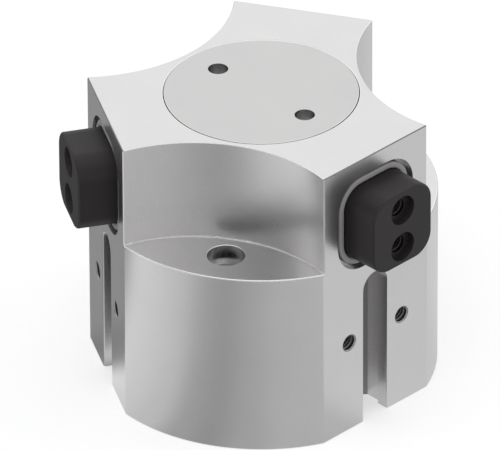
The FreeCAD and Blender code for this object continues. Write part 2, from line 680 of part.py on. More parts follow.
def make_lever_carrier():
    """The ring that holds the three lever pins, slotted for the levers and screwed to the wall."""
    body = new_body("lever_carrier")
    outer = f"({CHAMBER} - size.seat_gap)"
    height = f"({JAW_BASE} - size.carrier_gap - {WALL_TOP})"
    ring = new_sketch(body, "ring", "XY_Plane", WALL_TOP)
    circle(ring, "0", "0", outer)
    circle(ring, "0", "0", f"{SPOOL_RADIUS} + size.carrier_bore_gap")
    pad(body, "ring", ring, height)

    slot = new_sketch(body, "lever_slot", "XY_Plane", f"{WALL_TOP} + size.carrier_base")
    half = "(size.lever_thickness / 2 + size.lever_room)"
    rectangle(slot, "0", f"-{half}", f"2 * {CHAMBER}", half)
    lever_slot = pocket(body, "lever_slot", slot, height, upward=True)

    bore = new_sketch(body, "pin_bore", "XZ_Plane")
    circle(bore, PIVOT, PIVOT_HEIGHT, "size.pin_radius")
    pin_bore = pocket(body, "pin_bore", bore, f"2 * {CHAMBER}", symmetric=True)

    screw = new_sketch(body, "screw_hole", "XY_Plane", f"{WALL_TOP} + {height}")
    circle(screw, "-size.carrier_screw_place", "0", "size.carrier_screw_radius")
    screw_hole = hole(
        body, "screw_hole", screw, "(size.carrier_screw_radius + size.seat_gap)", None,
        "Counterbore", "(size.carrier_head_radius + size.seat_gap)", "size.carrier_head_height",
    )
    round_the_axis(body, "arms", lever_slot, pin_bore, screw_hole)
    return body


def cap_screw(name, place, seat, grip, shank, head, head_height, socket, inverted=False):
    """A socket head screw whose head rests at a height, beside the axis on the port side. An
    inverted screw has its head below."""
    body = new_body(name)
    if inverted:
        body.Placement = FreeCAD.Placement(
            FreeCAD.Vector(), FreeCAD.Rotation(FreeCAD.Vector(1, 0, 0), 180)
        )
    body.setExpression(".Placement.Base.z", seat)
    middle = "0" if place == "0" else f"-{place}"
    edge = f"-{place}"
    profile = new_sketch(body, "profile", "XZ_Plane")
    outline(profile, (
        (middle, f"-{grip}"), (middle, head_height),
        (f"{edge} - {head} + size.seam_break", head_height),
        (f"{edge} - {head}", f"{head_height} - size.seam_break"),
        (f"{edge} - {head}", "0"), (f"{edge} - {shank}", "0"), (f"{edge} - {shank}", f"-{grip}"),
    ))
    axis_line(profile, (middle, f"-{grip}"), (middle, head_height))
    screw = turned(body, "Revolution", "turning", profile, "Axis0")
    hexagon = new_sketch(body, "socket", "XY_Plane", head_height)
    across = f"({socket} / sqrt(3))"
    outline(hexagon, tuple(
        (f"{edge} + {across} * cos({60 * corner})", f"{across} * sin({60 * corner})" if corner % 3 else "0")
        for corner in range(6)
    ))
    drive = pocket(body, "socket", hexagon, "size.socket_depth")
    return body, screw, drive


def make_carrier_screws():
    """The three screws of the lever carrier."""
    height = f"({JAW_BASE} - size.carrier_gap - {WALL_TOP})"
    seat = f"({WALL_TOP} + {height} - size.carrier_head_height)"
    body, screw, drive = cap_screw(
        "carrier_screws", "size.carrier_screw_place", seat,
        f"({height} - size.carrier_head_height + size.carrier_grip)", "size.carrier_screw_radius",
        "size.carrier_head_radius", "size.carrier_head_height", "size.carrier_socket",
    )
    round_the_axis(body, "lobes", screw, drive)
    return body


def make_piston():
    """The piston, grooved for its wear ring and seal, with a pocket below for the magnet."""
    seat = "size.seat_gap"
    wear_base = "(size.piston_relief + size.piston_land)"
    wear_top = f"({wear_base} + size.wear_width)"
    seal_base = f"({wear_top} + size.piston_web)"
    seal_top = f"({seal_base} + size.seal_width)"
    wear_floor = f"({PISTON_RADIUS} - size.wear_depth)"
    rim = f"({PISTON_RADIUS} - size.piston_relief)"
    bumper_inner = "(size.bumper_radius - size.bumper_width / 2)"
    bumper_outer = "(size.bumper_radius + size.bumper_width / 2)"
    bumper_floor = f"({PISTON_HEIGHT} + size.bumper_proud - size.bumper_thickness)"
    magnet_top = f"(size.plate_thickness + size.magnet_height + {seat})"
    rod_floor = f"({PISTON_HEIGHT} - size.rod_seat)"
    screw_hole = f"(size.screw_radius + {seat})"
    body = turned_part("piston", (
        (screw_hole, "size.plate_thickness"),
        (f"{MAGNET_INNER} - {seat}", "size.plate_thickness"),
        (f"{MAGNET_INNER} - {seat}", magnet_top),
        (f"{MAGNET_OUTER} + {seat}", magnet_top),
        (f"{MAGNET_OUTER} + {seat}", "size.plate_thickness"),
        (f"{PLATE_RADIUS} + {seat}", "size.plate_thickness"),
        (f"{PLATE_RADIUS} + {seat}", "0"),
        (rim, "0"),
        (PISTON_RADIUS, "size.piston_relief"),
        (PISTON_RADIUS, wear_base),
        (wear_floor, wear_base),
        (wear_floor, wear_top),
        (PISTON_RADIUS, wear_top),
        (PISTON_RADIUS, seal_base),
        (SEAL_FLOOR, seal_base),
        (SEAL_FLOOR, seal_top),
        (PISTON_RADIUS, seal_top),
        (PISTON_RADIUS, f"{PISTON_HEIGHT} - size.piston_relief"),
        (rim, PISTON_HEIGHT),
        (f"{bumper_outer} + {seat}", PISTON_HEIGHT),
        (f"{bumper_outer} + {seat}", bumper_floor),
        (f"{bumper_inner} - {seat}", bumper_floor),
        (f"{bumper_inner} - {seat}", PISTON_HEIGHT),
        (f"size.rod_radius + {seat}", PISTON_HEIGHT),
        (f"size.rod_radius + {seat}", rod_floor),
        (screw_hole, rod_floor),
    ))
    body.setExpression(".Placement.Base.z", PISTON_BASE)
    return body


def make_piston_rings():
    """What the piston carries: wear ring, seal, magnet, magnet plate and upper bumper."""
    seat = "size.seat_gap"
    rim = "(size.bore_radius - size.running_gap)"
    wear_base = "(size.piston_relief + size.piston_land)"
    seal_base = f"({wear_base} + size.wear_width + size.piston_web)"
    rings = (
        ring_part("wear_ring", f"({PISTON_RADIUS} - size.wear_depth)", rim, wear_base, "size.wear_width"),
        turned_part("piston_seal", (
            (SEAL_FLOOR, seal_base),
            (f"{rim} - size.seal_depth / 4", seal_base),
            (rim, f"{seal_base} + size.seal_width / 4"),
            (f"{rim} - size.seal_depth / 8", f"{seal_base} + size.seal_width / 2"),
            (rim, f"{seal_base} + 3 * size.seal_width / 4"),
            (f"{rim} - size.seal_depth / 4", f"{seal_base} + size.seal_width"),
            (SEAL_FLOOR, f"{seal_base} + size.seal_width"),
        )),
        ring_part(
            "piston_magnet", MAGNET_INNER, MAGNET_OUTER, "size.plate_thickness", "size.magnet_height",
        ),
        ring_part("magnet_plate", f"(size.screw_radius + {seat})", PLATE_RADIUS, "0", "size.plate_thickness"),
        ring_part(
            "upper_bumper", "(size.bumper_radius - size.bumper_width / 2)",
            "(size.bumper_radius + size.bumper_width / 2)",
            f"({PISTON_HEIGHT} + size.bumper_proud - size.bumper_thickness)", "size.bumper_thickness",
        ),
    )
    for ring in rings:
        ring.setExpression(".Placement.Base.z", PISTON_BASE)
    return rings


def make_rod():
    """The rod, its grooved head and the two screws that clamp them to the piston."""
    seat = f"({PISTON_BASE} + {PISTON_HEIGHT} - size.rod_seat)"
    half_groove = "(size.knuckle_radius + size.spool_room)"
    head_base = f"({TOE_HEIGHT} - {half_groove} - size.spool_foot)"
    groove_base = f"({TOE_HEIGHT} - {half_groove})"
    groove_top = f"({TOE_HEIGHT} + {half_groove})"
    head_top = f"({groove_top} + size.spool_crown)"
    bore = "(size.screw_radius + size.seat_gap)"
    rod = ring_part("piston_rod", bore, "size.rod_radius", seat, f"({head_base} - {seat})")
    head = turned_part("rod_head", (
        (bore, head_base),
        (f"{SPOOL_RADIUS} - size.rim_break", head_base),
        (SPOOL_RADIUS, f"{head_base} + size.rim_break"),
        (SPOOL_RADIUS, groove_base),
        (SPOOL_CORE, groove_base),
        (SPOOL_CORE, groove_top),
        (SPOOL_RADIUS, groove_top),
        (SPOOL_RADIUS, f"{head_top} - size.rim_break"),
        (f"{SPOOL_RADIUS} - size.rim_break", head_top),
        (bore, head_top),
    ))
    head_screw = cap_screw(
        "rod_head_screw", "0", head_top, f"({head_top} - {head_base} + size.screw_length / 2)",
        "size.screw_radius", "size.screw_head_radius", "size.screw_head_height", "size.screw_socket",
    )[0]
    piston_screw = cap_screw(
        "piston_screw", "0", PISTON_BASE, f"({seat} - {PISTON_BASE} + size.screw_length / 2)",
        "size.screw_radius", "size.screw_head_radius", "size.screw_head_height",
        "size.screw_socket", inverted=True,
    )[0]
    return rod, head, head_screw, piston_screw


def make_top_cover():
    """The round cover in the head, with two blind holes for a pin spanner."""
    radius = f"({COVER_RADIUS} - size.seat_gap)"
    body = turned_part("top_cover", (
        ("0", COVER_BASE),
        (f"{radius} - size.seam_break", COVER_BASE),
        (radius, f"{COVER_BASE} + size.seam_break"),
        (radius, TOP),
        ("0", TOP),
    ))
    eyes = new_sketch(body, "spanner_holes", "XY_Plane", TOP)
    for sign in ("", "-"):
        circle(eyes, f"{sign}size.spanner_place", "0", "size.spanner_radius")
    pocket(body, "spanner_holes", eyes, "size.spanner_depth")
    return body


def make_jaw_guide(arm):
    """The hardened sleeve that a jaw slides in."""
    body = new_body(f"jaw_guide_{arm + 1}", arm)
    outside = new_sketch(body, "outside", "YZ_Plane", GUIDE_INNER)
    rounded_square(outside, "size.guide_wall")
    length = f"({FLAT} - size.guide_recess - {GUIDE_INNER})"
    pad(body, "outside", outside, length)
    inside = new_sketch(body, "inside", "YZ_Plane", f"{GUIDE_INNER} + {length}")
    rounded_square(inside, "size.running_gap")
    pocket(body, "inside", inside, length)
    return body


def make_jaw(arm):
    """A base jaw: slot below for its lever, two centred threads in its face for a finger."""
    body = new_body(f"jaw_{arm + 1}", arm)
    tail = f"({KNUCKLE} - size.jaw_tail)"
    face = f"({FLAT} + size.jaw_stand)"
    section = new_sketch(body, "section", "YZ_Plane", tail)
    rounded_square(section, "0")
    pad(body, "block", section, f"{face} - {tail}")
    bevel(body, "face_bevel", "size.jaw_break", edge_in_plane(FreeCAD.Vector(1, 0, 0), value(face)))

    slot = new_sketch(body, "lever_slot", "XZ_Plane")
    half = "(size.knuckle_radius + size.spool_room)"
    ceiling = f"({PIVOT_HEIGHT} + size.lever_rise + size.knuckle_radius + size.slot_roof)"
    knuckle_height = f"({PIVOT_HEIGHT} + size.lever_rise * cos({TILT}))"
    waist = f"({knuckle_height} - size.knuckle_radius / 2)"
    outline(slot, (
        (f"{KNUCKLE} - size.slot_mouth", JAW_BASE),
        (f"{KNUCKLE} + size.slot_mouth", JAW_BASE),
        (f"{KNUCKLE} + {half}", waist),
        (f"{KNUCKLE} + {half}", ceiling),
        (f"{KNUCKLE} - {half}", ceiling),
        (f"{KNUCKLE} - {half}", waist),
    ))
    pocket(body, "lever_slot", slot, "size.lever_thickness + 2 * size.slot_side", symmetric=True)

    holes = new_sketch(body, "finger_holes", "YZ_Plane", face)
    for sign in ("+", "-"):
        circle(holes, "0", f"{JAW_MIDDLE} {sign} size.finger_pitch / 2", "size.finger_thread")
    hole(
        body, "finger_holes", holes, "size.finger_thread", "size.finger_thread_depth",
        "Counterbore", "size.centring_radius", "size.centring_depth",
    )
    return body


def make_lever(arm):
    """A bell crank, tilted outward as it stands with the jaws open."""
    body = new_body(f"lever_{arm + 1}", arm)
    wide = "(size.shank_half + size.shank_taper)"
    rise, reach, thin = "size.lever_rise", "size.lever_reach", "size.shank_half"
    sketches = []
    for name in ("rounds", "arms", "pin_bore"):
        sketch = new_sketch(body, name, "XZ_Plane")
        sketch.AttachmentOffset = FreeCAD.Placement(
            FreeCAD.Vector(), FreeCAD.Rotation(FreeCAD.Vector(0, 0, -1), value(TILT))
        )
        sketch.setExpression(".AttachmentOffset.Base.x", PIVOT)
        sketch.setExpression(".AttachmentOffset.Base.y", PIVOT_HEIGHT)
        sketch.setExpression(".AttachmentOffset.Rotation.Angle", TILT)
        sketches.append(sketch)
    rounds, arms, bore = sketches
    circle(rounds, "0", "0", BOSS)
    circle(rounds, "0", rise, "size.knuckle_radius")
    circle(rounds, f"-{reach}", "0", "size.knuckle_radius")
    outline(arms, (
        ("0", f"-{wide}"), (wide, "0"), (thin, rise), (f"-{thin}", rise),
        (f"-{wide}", wide), (f"-{reach}", thin), (f"-{reach}", f"-{thin}"),
    ))
    circle(bore, "0", "0", "size.pin_radius + size.running_gap")
    pad(body, "arms", arms, "size.lever_thickness", symmetric=True)
    pad(body, "rounds", rounds, "size.lever_thickness", symmetric=True)
    pocket(body, "pin_bore", bore, "size.lever_thickness", symmetric=True)
    return body


def make_lever_pin(arm):
    """The pin of a lever, across its slot in the carrier and kept in by the chamber wall."""
    body = new_body(f"lever_pin_{arm + 1}", arm)
    section = new_sketch(body, "section", "XZ_Plane")
    circle(section, PIVOT, PIVOT_HEIGHT, "size.pin_radius")
    half_length = f"(sqrt({CHAMBER}^2 - ({PIVOT} + size.pin_radius)^2) - size.seat_gap)"
    pad(body, "round", section, f"2 * {half_length}", symmetric=True)
    return body


def make_all():
    """Every sub-part of the gripper."""
    parts = [make_housing(), make_end_cap(), make_end_cap_seal(), make_retaining_ring()]
    parts += [*make_gland(), make_lever_carrier(), make_carrier_screws(), make_top_cover()]
    parts += [make_piston(), *make_piston_rings(), *make_rod()]
    for arm in range(ARMS):
        parts += [make_jaw_guide(arm), make_lever_pin(arm), make_lever(arm), make_jaw(arm)]
    doc.recompute()
    return parts


def check(parts):
    """Stop on a failed object, a broken shape or a cut that removed nothing."""
    faults = [item.Name for item in doc.Objects if {"Invalid", "Error"} & set(item.State)]
    faults += [part.Label for part in parts if part.Shape.isNull() or not part.Shape.isValid()]
    for item in doc.Objects:
        if item.TypeId in ("PartDesign::Pocket", "PartDesign::Groove", "PartDesign::Hole"):
            if item.Shape.Volume > item.BaseFeature.Shape.Volume - 1e-3:
                faults.append(f"{item.Name} cuts nothing")
    if faults:
        raise RuntimeError(f"faulty: {', '.join(faults)}")


sub_parts = make_all()
check(sub_parts)
os.makedirs("parts", exist_ok=True)
for sub_part in sub_parts:
    sub_part.Shape.exportStep(f"parts/{sub_part.Label}.step")
    solids = len(sub_part.Shape.Solids)
    print(f"{sub_part.Label}: {solids} solid(s), {sub_part.Shape.Volume:.1f} mm3")
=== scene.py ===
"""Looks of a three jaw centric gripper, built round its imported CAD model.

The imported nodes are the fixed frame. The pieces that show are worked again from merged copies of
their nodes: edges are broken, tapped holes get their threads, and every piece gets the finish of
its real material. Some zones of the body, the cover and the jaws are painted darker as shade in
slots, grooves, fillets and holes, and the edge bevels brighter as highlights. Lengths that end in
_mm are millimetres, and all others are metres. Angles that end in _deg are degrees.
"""

import json
import logging
import math
from collections.abc import Callable, Iterable
from dataclasses import dataclass, field
from enum import Enum, IntEnum

import bmesh
import bpy
from mathutils import Matrix, Vector


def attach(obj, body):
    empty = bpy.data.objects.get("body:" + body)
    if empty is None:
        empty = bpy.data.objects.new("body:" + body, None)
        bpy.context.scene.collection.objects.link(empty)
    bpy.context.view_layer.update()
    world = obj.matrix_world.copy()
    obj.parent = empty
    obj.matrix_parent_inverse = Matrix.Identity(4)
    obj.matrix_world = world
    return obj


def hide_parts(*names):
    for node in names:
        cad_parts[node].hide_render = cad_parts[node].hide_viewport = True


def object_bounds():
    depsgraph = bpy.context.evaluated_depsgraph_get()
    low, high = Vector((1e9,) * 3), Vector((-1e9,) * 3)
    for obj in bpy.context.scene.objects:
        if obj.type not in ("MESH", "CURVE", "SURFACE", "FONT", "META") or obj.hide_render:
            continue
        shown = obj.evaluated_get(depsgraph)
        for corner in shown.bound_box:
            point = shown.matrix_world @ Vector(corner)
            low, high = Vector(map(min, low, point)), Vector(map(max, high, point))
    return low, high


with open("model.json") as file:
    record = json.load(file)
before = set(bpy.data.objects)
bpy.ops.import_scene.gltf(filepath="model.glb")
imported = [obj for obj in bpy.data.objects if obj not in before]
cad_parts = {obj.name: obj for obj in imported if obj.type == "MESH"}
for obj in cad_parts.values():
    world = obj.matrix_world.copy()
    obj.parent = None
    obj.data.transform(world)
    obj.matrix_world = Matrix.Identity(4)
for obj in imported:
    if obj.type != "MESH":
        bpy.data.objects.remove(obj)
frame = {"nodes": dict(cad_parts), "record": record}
CAD_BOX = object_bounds()

log = logging.getLogger("gripper")
MM = 0.001
ARMS = (1, 2, 3)
UP = Vector((0, 0, 1))
TOP_MM = CAD_BOX[1][2] / MM
Tones = tuple[tuple[float, float], ...]
SLOTS = {part["node"]: part["material_slot"] for part in frame["record"]["subparts"]}

# How far a place may be from a plane or a round and still be on it, and a face from a hole's wall.
NEAR_MM = 0.02
LOOSE_MM = 0.05
BESIDE_MM = 0.2

# A slanted face's normal has a share of an axis between these, and a face square to it has more.
SLANTED, SQUARE = 0.2, 0.95


def linear(code: str) -> tuple[float, float, float, float]:
    """Turn an sRGB hex colour into a linear one.

    Args:
        code: six hex digits after a hash sign.

    Returns:
        Red, green, blue and full opacity.
    """
    parts = [int(code[i:i + 2], 16) / 255 for i in (1, 3, 5)]
    parts = [p / 12.92 if p <= 0.04045 else ((p + 0.055) / 1.055) ** 2.4 for p in parts]
    return (*parts, 1.0)


def outward(arm: int) -> Vector:
    """The direction in which an arm's jaw opens."""
    angle = math.radians(120 * (arm - 1))
    return Vector((math.cos(angle), math.sin(angle), 0))


def nearest_arm(place: Vector) -> Vector:
    """The direction of the arm that a place is nearest to."""
    return max(map(outward, ARMS), key=place.dot)


def add_node(
    tree: bpy.types.NodeTree, kind: str, inputs: dict | None = None, **settings: object
) -> bpy.types.Node:
    """Add a node with its settings and links.

    Args:
        tree: the node tree that gets the node.
        kind: Blender's name of the node's type.
        inputs: by socket name or number, a value or the output that feeds it.
        settings: the node's own properties.

    Returns:
        The new node.
    """
    node = tree.nodes.new(kind)
    for name, setting in settings.items():
        setattr(node, name, setting)
    for name, source in (inputs or {}).items():
        if isinstance(source, bpy.types.NodeSocket):
            tree.links.new(source, node.inputs[name])
        else:
            node.inputs[name].default_value = source
    return node


def blank_tree(owner: bpy.types.Material | bpy.types.World) -> bpy.types.NodeTree:
    """Give a new material or world an empty node tree.

    Args:
        owner: the material or world.

    Returns:
        Its node tree.
    """
    owner.use_nodes = True
    owner.node_tree.nodes.clear()
    return owner.node_tree


# Finishes


class Grain(Enum):
    """How a surface was made, as the run of its marks along X, Y and Z."""

    BLASTED = (1.0, 1.0, 1.0)
    GROUND = (1.0, 1.0, 0.04)
    TURNED = (0.0, 0.0, 0.0)


# A wave texture repeats every 0.314 of its scale.
WAVE_REPEAT = 0.314


@dataclass(frozen=True)
class Finish:
    """A real material and how its surface was made.

    Attributes:
        name: the material's common name and its surface.
        colour: its colour, sRGB.
        shade: the second tone that its broad cloudiness runs to, sRGB.
        metallic: 1 for bare or anodised metal, 0 for oxide, rubber and plastic.
        roughness: its mean roughness.
        spread: how far the marks take the roughness either way.
        grain: how the surface was made.
        grain_mm: spacing of the marks.
        relief_mm: height of the marks.
        cloud_mm: size of the broad cloudiness.
        ior: index of refraction of what isn't metal. A metal keeps the default.
    """

    name: str
    colour: str
    shade: str
    metallic: float
    roughness: float
    spread: float = 0.04
    grain: Grain = Grain.BLASTED
    grain_mm: float = 0.3
    relief_mm: float = 0.002
    cloud_mm: float = 7.0
    ior: float = 1.5

    def marks(self, tree: bpy.types.NodeTree, place: bpy.types.NodeSocket) -> bpy.types.NodeSocket:
        """Draw the marks of the tool or the blast.

        Args:
            tree: the material's node tree.
            place: the object coordinates.

        Returns:
            The height of the marks, from 0 to 1.
        """
        if self.grain is Grain.TURNED:
            return add_node(
                tree, "ShaderNodeTexWave",
                {"Vector": place, "Scale": WAVE_REPEAT / (self.grain_mm * MM), "Distortion": 1.2,
                 "Detail": 2.0, "Detail Scale": 0.6},
                wave_type="RINGS", rings_direction="Z",
            ).outputs["Fac"]
        run = add_node(tree, "ShaderNodeMapping", {"Vector": place, "Scale": self.grain.value})
        return add_node(
            tree, "ShaderNodeTexNoise",
            {"Vector": run.outputs[0], "Scale": 1 / (self.grain_mm * MM), "Detail": 3.0},
        ).outputs["Fac"]

    def material(self) -> bpy.types.Material:
        """Make the material, or find it if it is there already.

        Returns:
            The material.
        """
        if self.name in bpy.data.materials:
            return bpy.data.materials[self.name]
        material = bpy.data.materials.new(self.name)
        tree = blank_tree(material)
        place = add_node(tree, "ShaderNodeTexCoord").outputs["Object"]
        marks = self.marks(tree, place)
        cloud = add_node(
            tree, "ShaderNodeTexNoise",
            {"Vector": place, "Scale": 1 / (self.cloud_mm * MM), "Detail": 2.0},
        ).outputs["Fac"]
        # A mix of colours takes them at its sockets 6 and 7, and gives the result at 2.
        tone = add_node(
            tree, "ShaderNodeMix", {"Factor": cloud, 6: linear(self.colour), 7: linear(self.shade)},
            data_type="RGBA",
        )
        smoothest, roughest = self.roughness - self.spread, self.roughness + self.spread
        roughness = add_node(
            tree, "ShaderNodeMapRange", {"Value": marks, "To Min": smoothest, "To Max": roughest},
        )
        bump = add_node(tree, "ShaderNodeBump", {"Height": marks, "Distance": self.relief_mm * MM})
        inputs = {
            "Base Color": tone.outputs[2], "Roughness": roughness.outputs[0],
            "Normal": bump.outputs[0], "Metallic": self.metallic,
        }
        if not self.metallic:
            inputs["IOR"] = self.ior
        shader = add_node(tree, "ShaderNodeBsdfPrincipled", inputs)
        add_node(tree, "ShaderNodeOutputMaterial", {"Surface": shader.outputs[0]})
        return material

    def dress(self, piece: bpy.types.Object) -> None:
        """Give a piece this finish all over.

        Args:
            piece: the piece, with or without materials of its own.
        """
        if piece.material_slots:
            for place in piece.material_slots:
                place.material = self.material()
        else:
            piece.data.materials.append(self.material())


FINISHES = {
    # Bead blasted and clear anodised: an even silvery satin.
    "body_aluminium": Finish(
        "anodised_aluminium_blasted", "#E6E5E5", "#E0DFDF", metallic=1.0, roughness=0.29,
        relief_mm=0.0008,
    ),
    # The same anodising on a turned disc: a little darker, with faint rings.
    "cover_aluminium": Finish(
        "anodised_aluminium_turned", "#D4D4D3", "#D0D0D0", metallic=1.0, roughness=0.34,
        spread=0.03, grain=Grain.TURNED, grain_mm=0.25, relief_mm=0.0008,
    ),
    # Turned and anodised like the cover, cooler where the cutter left it plain.
    "cap_aluminium": Finish(
        "anodised_aluminium_faced", "#CBCCCE", "#C4C5C7", metallic=1.0, roughness=0.32,
        grain=Grain.TURNED, relief_mm=0.0012,
    ),
    # Bare turned aluminium: brighter and smoother, for running in the bore.
    "piston_aluminium": Finish(
        "turned_aluminium", "#D9D9DA", "#CFCFD1", metallic=1.0, roughness=0.26,
        spread=0.05, grain=Grain.TURNED, grain_mm=0.2, relief_mm=0.0012,
    ),
    # Steel blackened by oxide: nearly black, with a soft oily sheen.
    "jaw_steel": Finish(
        "black_oxide_steel", "#1F1B1C", "#241F21", metallic=0.0, roughness=0.5,
        spread=0.05, ior=1.45,
    ),
    # Phosphated and blasted: an even matt grey that no longer mirrors.
    "guide_steel": Finish(
        "phosphated_steel_grey", "#ABA9A9", "#A3A1A1", metallic=0.0, roughness=0.55,
        spread=0.05, grain_mm=0.25, relief_mm=0.003, ior=1.6,
    ),
    # Hardened and ground: fine upright scratches on a cool grey.
    "hardened_steel": Finish(
        "hardened_ground_steel", "#A9A8A9", "#9C9B9C", metallic=1.0, roughness=0.27,
        spread=0.06, grain=Grain.GROUND, grain_mm=0.2,
    ),
    # Needle bearing steel: ground and lapped almost to a mirror.
    "pin_steel": Finish(
        "bearing_steel_lapped", "#C9C9CB", "#C1C1C4", metallic=1.0, roughness=0.16,
        spread=0.03, grain=Grain.GROUND, grain_mm=0.15, relief_mm=0.0005,
    ),
    # Milled and left bare: greyer, with the coarser marks of the cutter.
    "carrier_steel": Finish(
        "milled_steel", "#A3A2A1", "#959493", metallic=1.0, roughness=0.36,
        spread=0.06, grain_mm=0.5, relief_mm=0.003,
    ),
    # Stamped sheet: the dull roll finish of stainless.
    "plate_steel": Finish(
        "stamped_stainless_steel", "#BAB9B7", "#AFAEAC", metallic=1.0, roughness=0.33,
        spread=0.05, cloud_mm=4.0,
    ),
    # Socket screws: black oxide over a forged head.
    "screw_steel": Finish(
        "black_oxide_screw_steel", "#232325", "#1B1B1C", metallic=0.0, roughness=0.42,
        spread=0.06, ior=1.6,
    ),
    # Snap ring: manganese phosphate, a rough dark grey that holds oil.
    "spring_steel": Finish(
        "phosphated_spring_steel", "#37373A", "#2C2C2E", metallic=0.0, roughness=0.58,
        spread=0.08, grain_mm=0.2, relief_mm=0.005, ior=1.6,
    ),
    # Piston rod: hard chrome over ground steel, the shiniest surface here.
    "rod_chrome": Finish(
        "hard_chrome", "#D6D8DB", "#D0D2D6", metallic=1.0, roughness=0.12,
        spread=0.03, grain=Grain.GROUND, grain_mm=0.15, relief_mm=0.0004,
    ),
    # Bush: sintered bronze, with open pores for oil.
    "bush_bronze": Finish(
        "sintered_bronze", "#B4875A", "#9C7148", metallic=1.0, roughness=0.42,
        spread=0.1, grain_mm=0.2, relief_mm=0.006,
    ),
    # Magnet ring: ferrite, pressed and sintered, charcoal and slightly speckled.
    "magnet": Finish(
        "sintered_ferrite", "#3D3C3F", "#302F32", metallic=0.0, roughness=0.6,
        spread=0.1, grain_mm=0.25, relief_mm=0.006, ior=1.9,
    ),
    # Seals: nitrile rubber, black and slightly greased.
    "seal_rubber": Finish(
        "nitrile_rubber", "#191919", "#202020", metallic=0.0, roughness=0.5,
        spread=0.1, grain_mm=0.4, relief_mm=0.004,
    ),
    # Bumper: cast polyurethane, dark green grey and smoother.
    "bumper_rubber": Finish(
        "polyurethane_elastomer", "#2D322F", "#262A28", metallic=0.0, roughness=0.38,
        spread=0.06, relief_mm=0.003,
    ),
    # Wear ring: acetal filled with bronze, a dull tan.
    "wear_plastic": Finish(
        "bronze_filled_acetal", "#75684F", "#665A44", metallic=0.0, roughness=0.42,
        spread=0.08, ior=1.48,
    ),
}


class Zone(IntEnum):
    """The kinds of surface on one worked piece, as its material slots. Some are painted darker as
    shade, and the edge zone brighter as highlights.
    """

    SKIN = 0
    BORED = 1
    PAINTED_SHADE = 2
    EDGE = 3
    SUNK = 4


ZONES = {
    # Bored and milled before anodising, never blasted: smooth along the cut, with a duller grey that is
    # painted shade in the sensor slots, the grooves round the guides, the fillets at the ledges' feet
    # and the walls of the counterbores and the cover's blind holes.
    Zone.BORED: Finish(
        "anodised_aluminium_bored_painted_shade", "#D0CFCF", "#C7C6C6", metallic=1.0, roughness=0.25,
        grain_mm=0.2, relief_mm=0.0008,
    ),
    # Tapped or fitted after anodising: bare and rough, and painted dark as shade in the tapped holes,
    # on the sensor slots' tapers and on the top's bevels above the flats.
    Zone.PAINTED_SHADE: Finish(
        "bare_aluminium_painted_shade", "#8B8A89", "#7C7B7A", metallic=1.0, roughness=0.42,
        spread=0.06, grain_mm=0.2, relief_mm=0.004,
    ),
    # Edges broken by the milling cutter's last pass: burnished, and painted brighter than the skin as
    # highlights along the edges.
    Zone.EDGE: Finish(
        "burnished_edge_painted_highlight", "#F7F7F7", "#F0F0F0", metallic=1.0, roughness=0.24,
        spread=0.03, relief_mm=0.0005,
    ),
    # Drilled or bevelled for a screw after anodising: greyer than the skin, painted as shade in the
    # screw holes and on the side holes' bevels.
    Zone.SUNK: Finish(
        "aluminium_countersunk_painted_shade", "#A6A5A4", "#9C9B9A", metallic=1.0, roughness=0.34,
        grain_mm=0.2, relief_mm=0.001,
    ),
}

# Inside a jaw's threaded holes: the same oxide, painted nearly black as shade.
JAW_HOLES = Finish(
    "black_oxide_steel_painted_shade", "#0B0B0B", "#101010", metallic=0.0, roughness=0.4,
    spread=0.05, ior=1.45,
)


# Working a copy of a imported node


@dataclass(frozen=True)
class Hole:
    """A drilled hole.

    Attributes:
        mouth: the middle of its mouth.
        inward: direction into the hole.
        radius_mm: its radius, or that of the roots of its thread.
        depth_mm: its depth, or the length of its thread.
        rim_mm: depth of its rim, which isn't marked like the wall.
        zone: what its wall is.
        floor: what the faces square to it are, if they differ from the wall.
        rim: what its rim is, or None to leave it like the surface outside.
        ahead_mm: how far in front of its mouth its faces may start.
        beyond_mm: how far behind its end they may stop.
    """

    mouth: Vector
    inward: Vector
    radius_mm: float
    depth_mm: float
    rim_mm: float = 0.0
    # By default a hole's wall is painted darker as shade.
    zone: Zone = Zone.BORED
    floor: Zone | None = None
    rim: Zone | None = None
    ahead_mm: float = 0.4
    beyond_mm: float = 0.5

    def place_of(self, place: Vector) -> tuple[float, Vector]:
        """Say how deep a place is in millimetres, and where the axis is nearest to it."""
        along = (place - self.mouth).dot(self.inward)
        return along / MM, self.mouth + along * self.inward

    def holds(self, face: bmesh.types.BMFace) -> bool:
        """Say whether a face is inside the hole.

        Args:
            face: a face of the mesh that has the hole.

        Returns:
            Whether all its corners are between its mouth and its end, and no further out than its
            wall.
        """
        for vert in face.verts:
            depth, foot = self.place_of(vert.co)
            if (vert.co - foot).length > (self.radius_mm + BESIDE_MM) * MM:
                return False
            if not -self.ahead_mm < depth < self.depth_mm + self.beyond_mm:
                return False
        return True

    def mark(self, form: bmesh.types.BMesh) -> None:
        """Put the faces inside the hole in its zones.

        Args:
            form: the mesh that has the hole.
        """
        for face in filter(self.holds, form.faces):
            deepest = max(self.place_of(vert.co)[0] for vert in face.verts)
            square = face.normal.dot(self.inward) < -SQUARE
            zone = self.zone
            if deepest < self.rim_mm:
                zone = self.rim
            elif square and self.floor is not None:
                zone = self.floor
            if zone is not None:
                face.material_index = zone


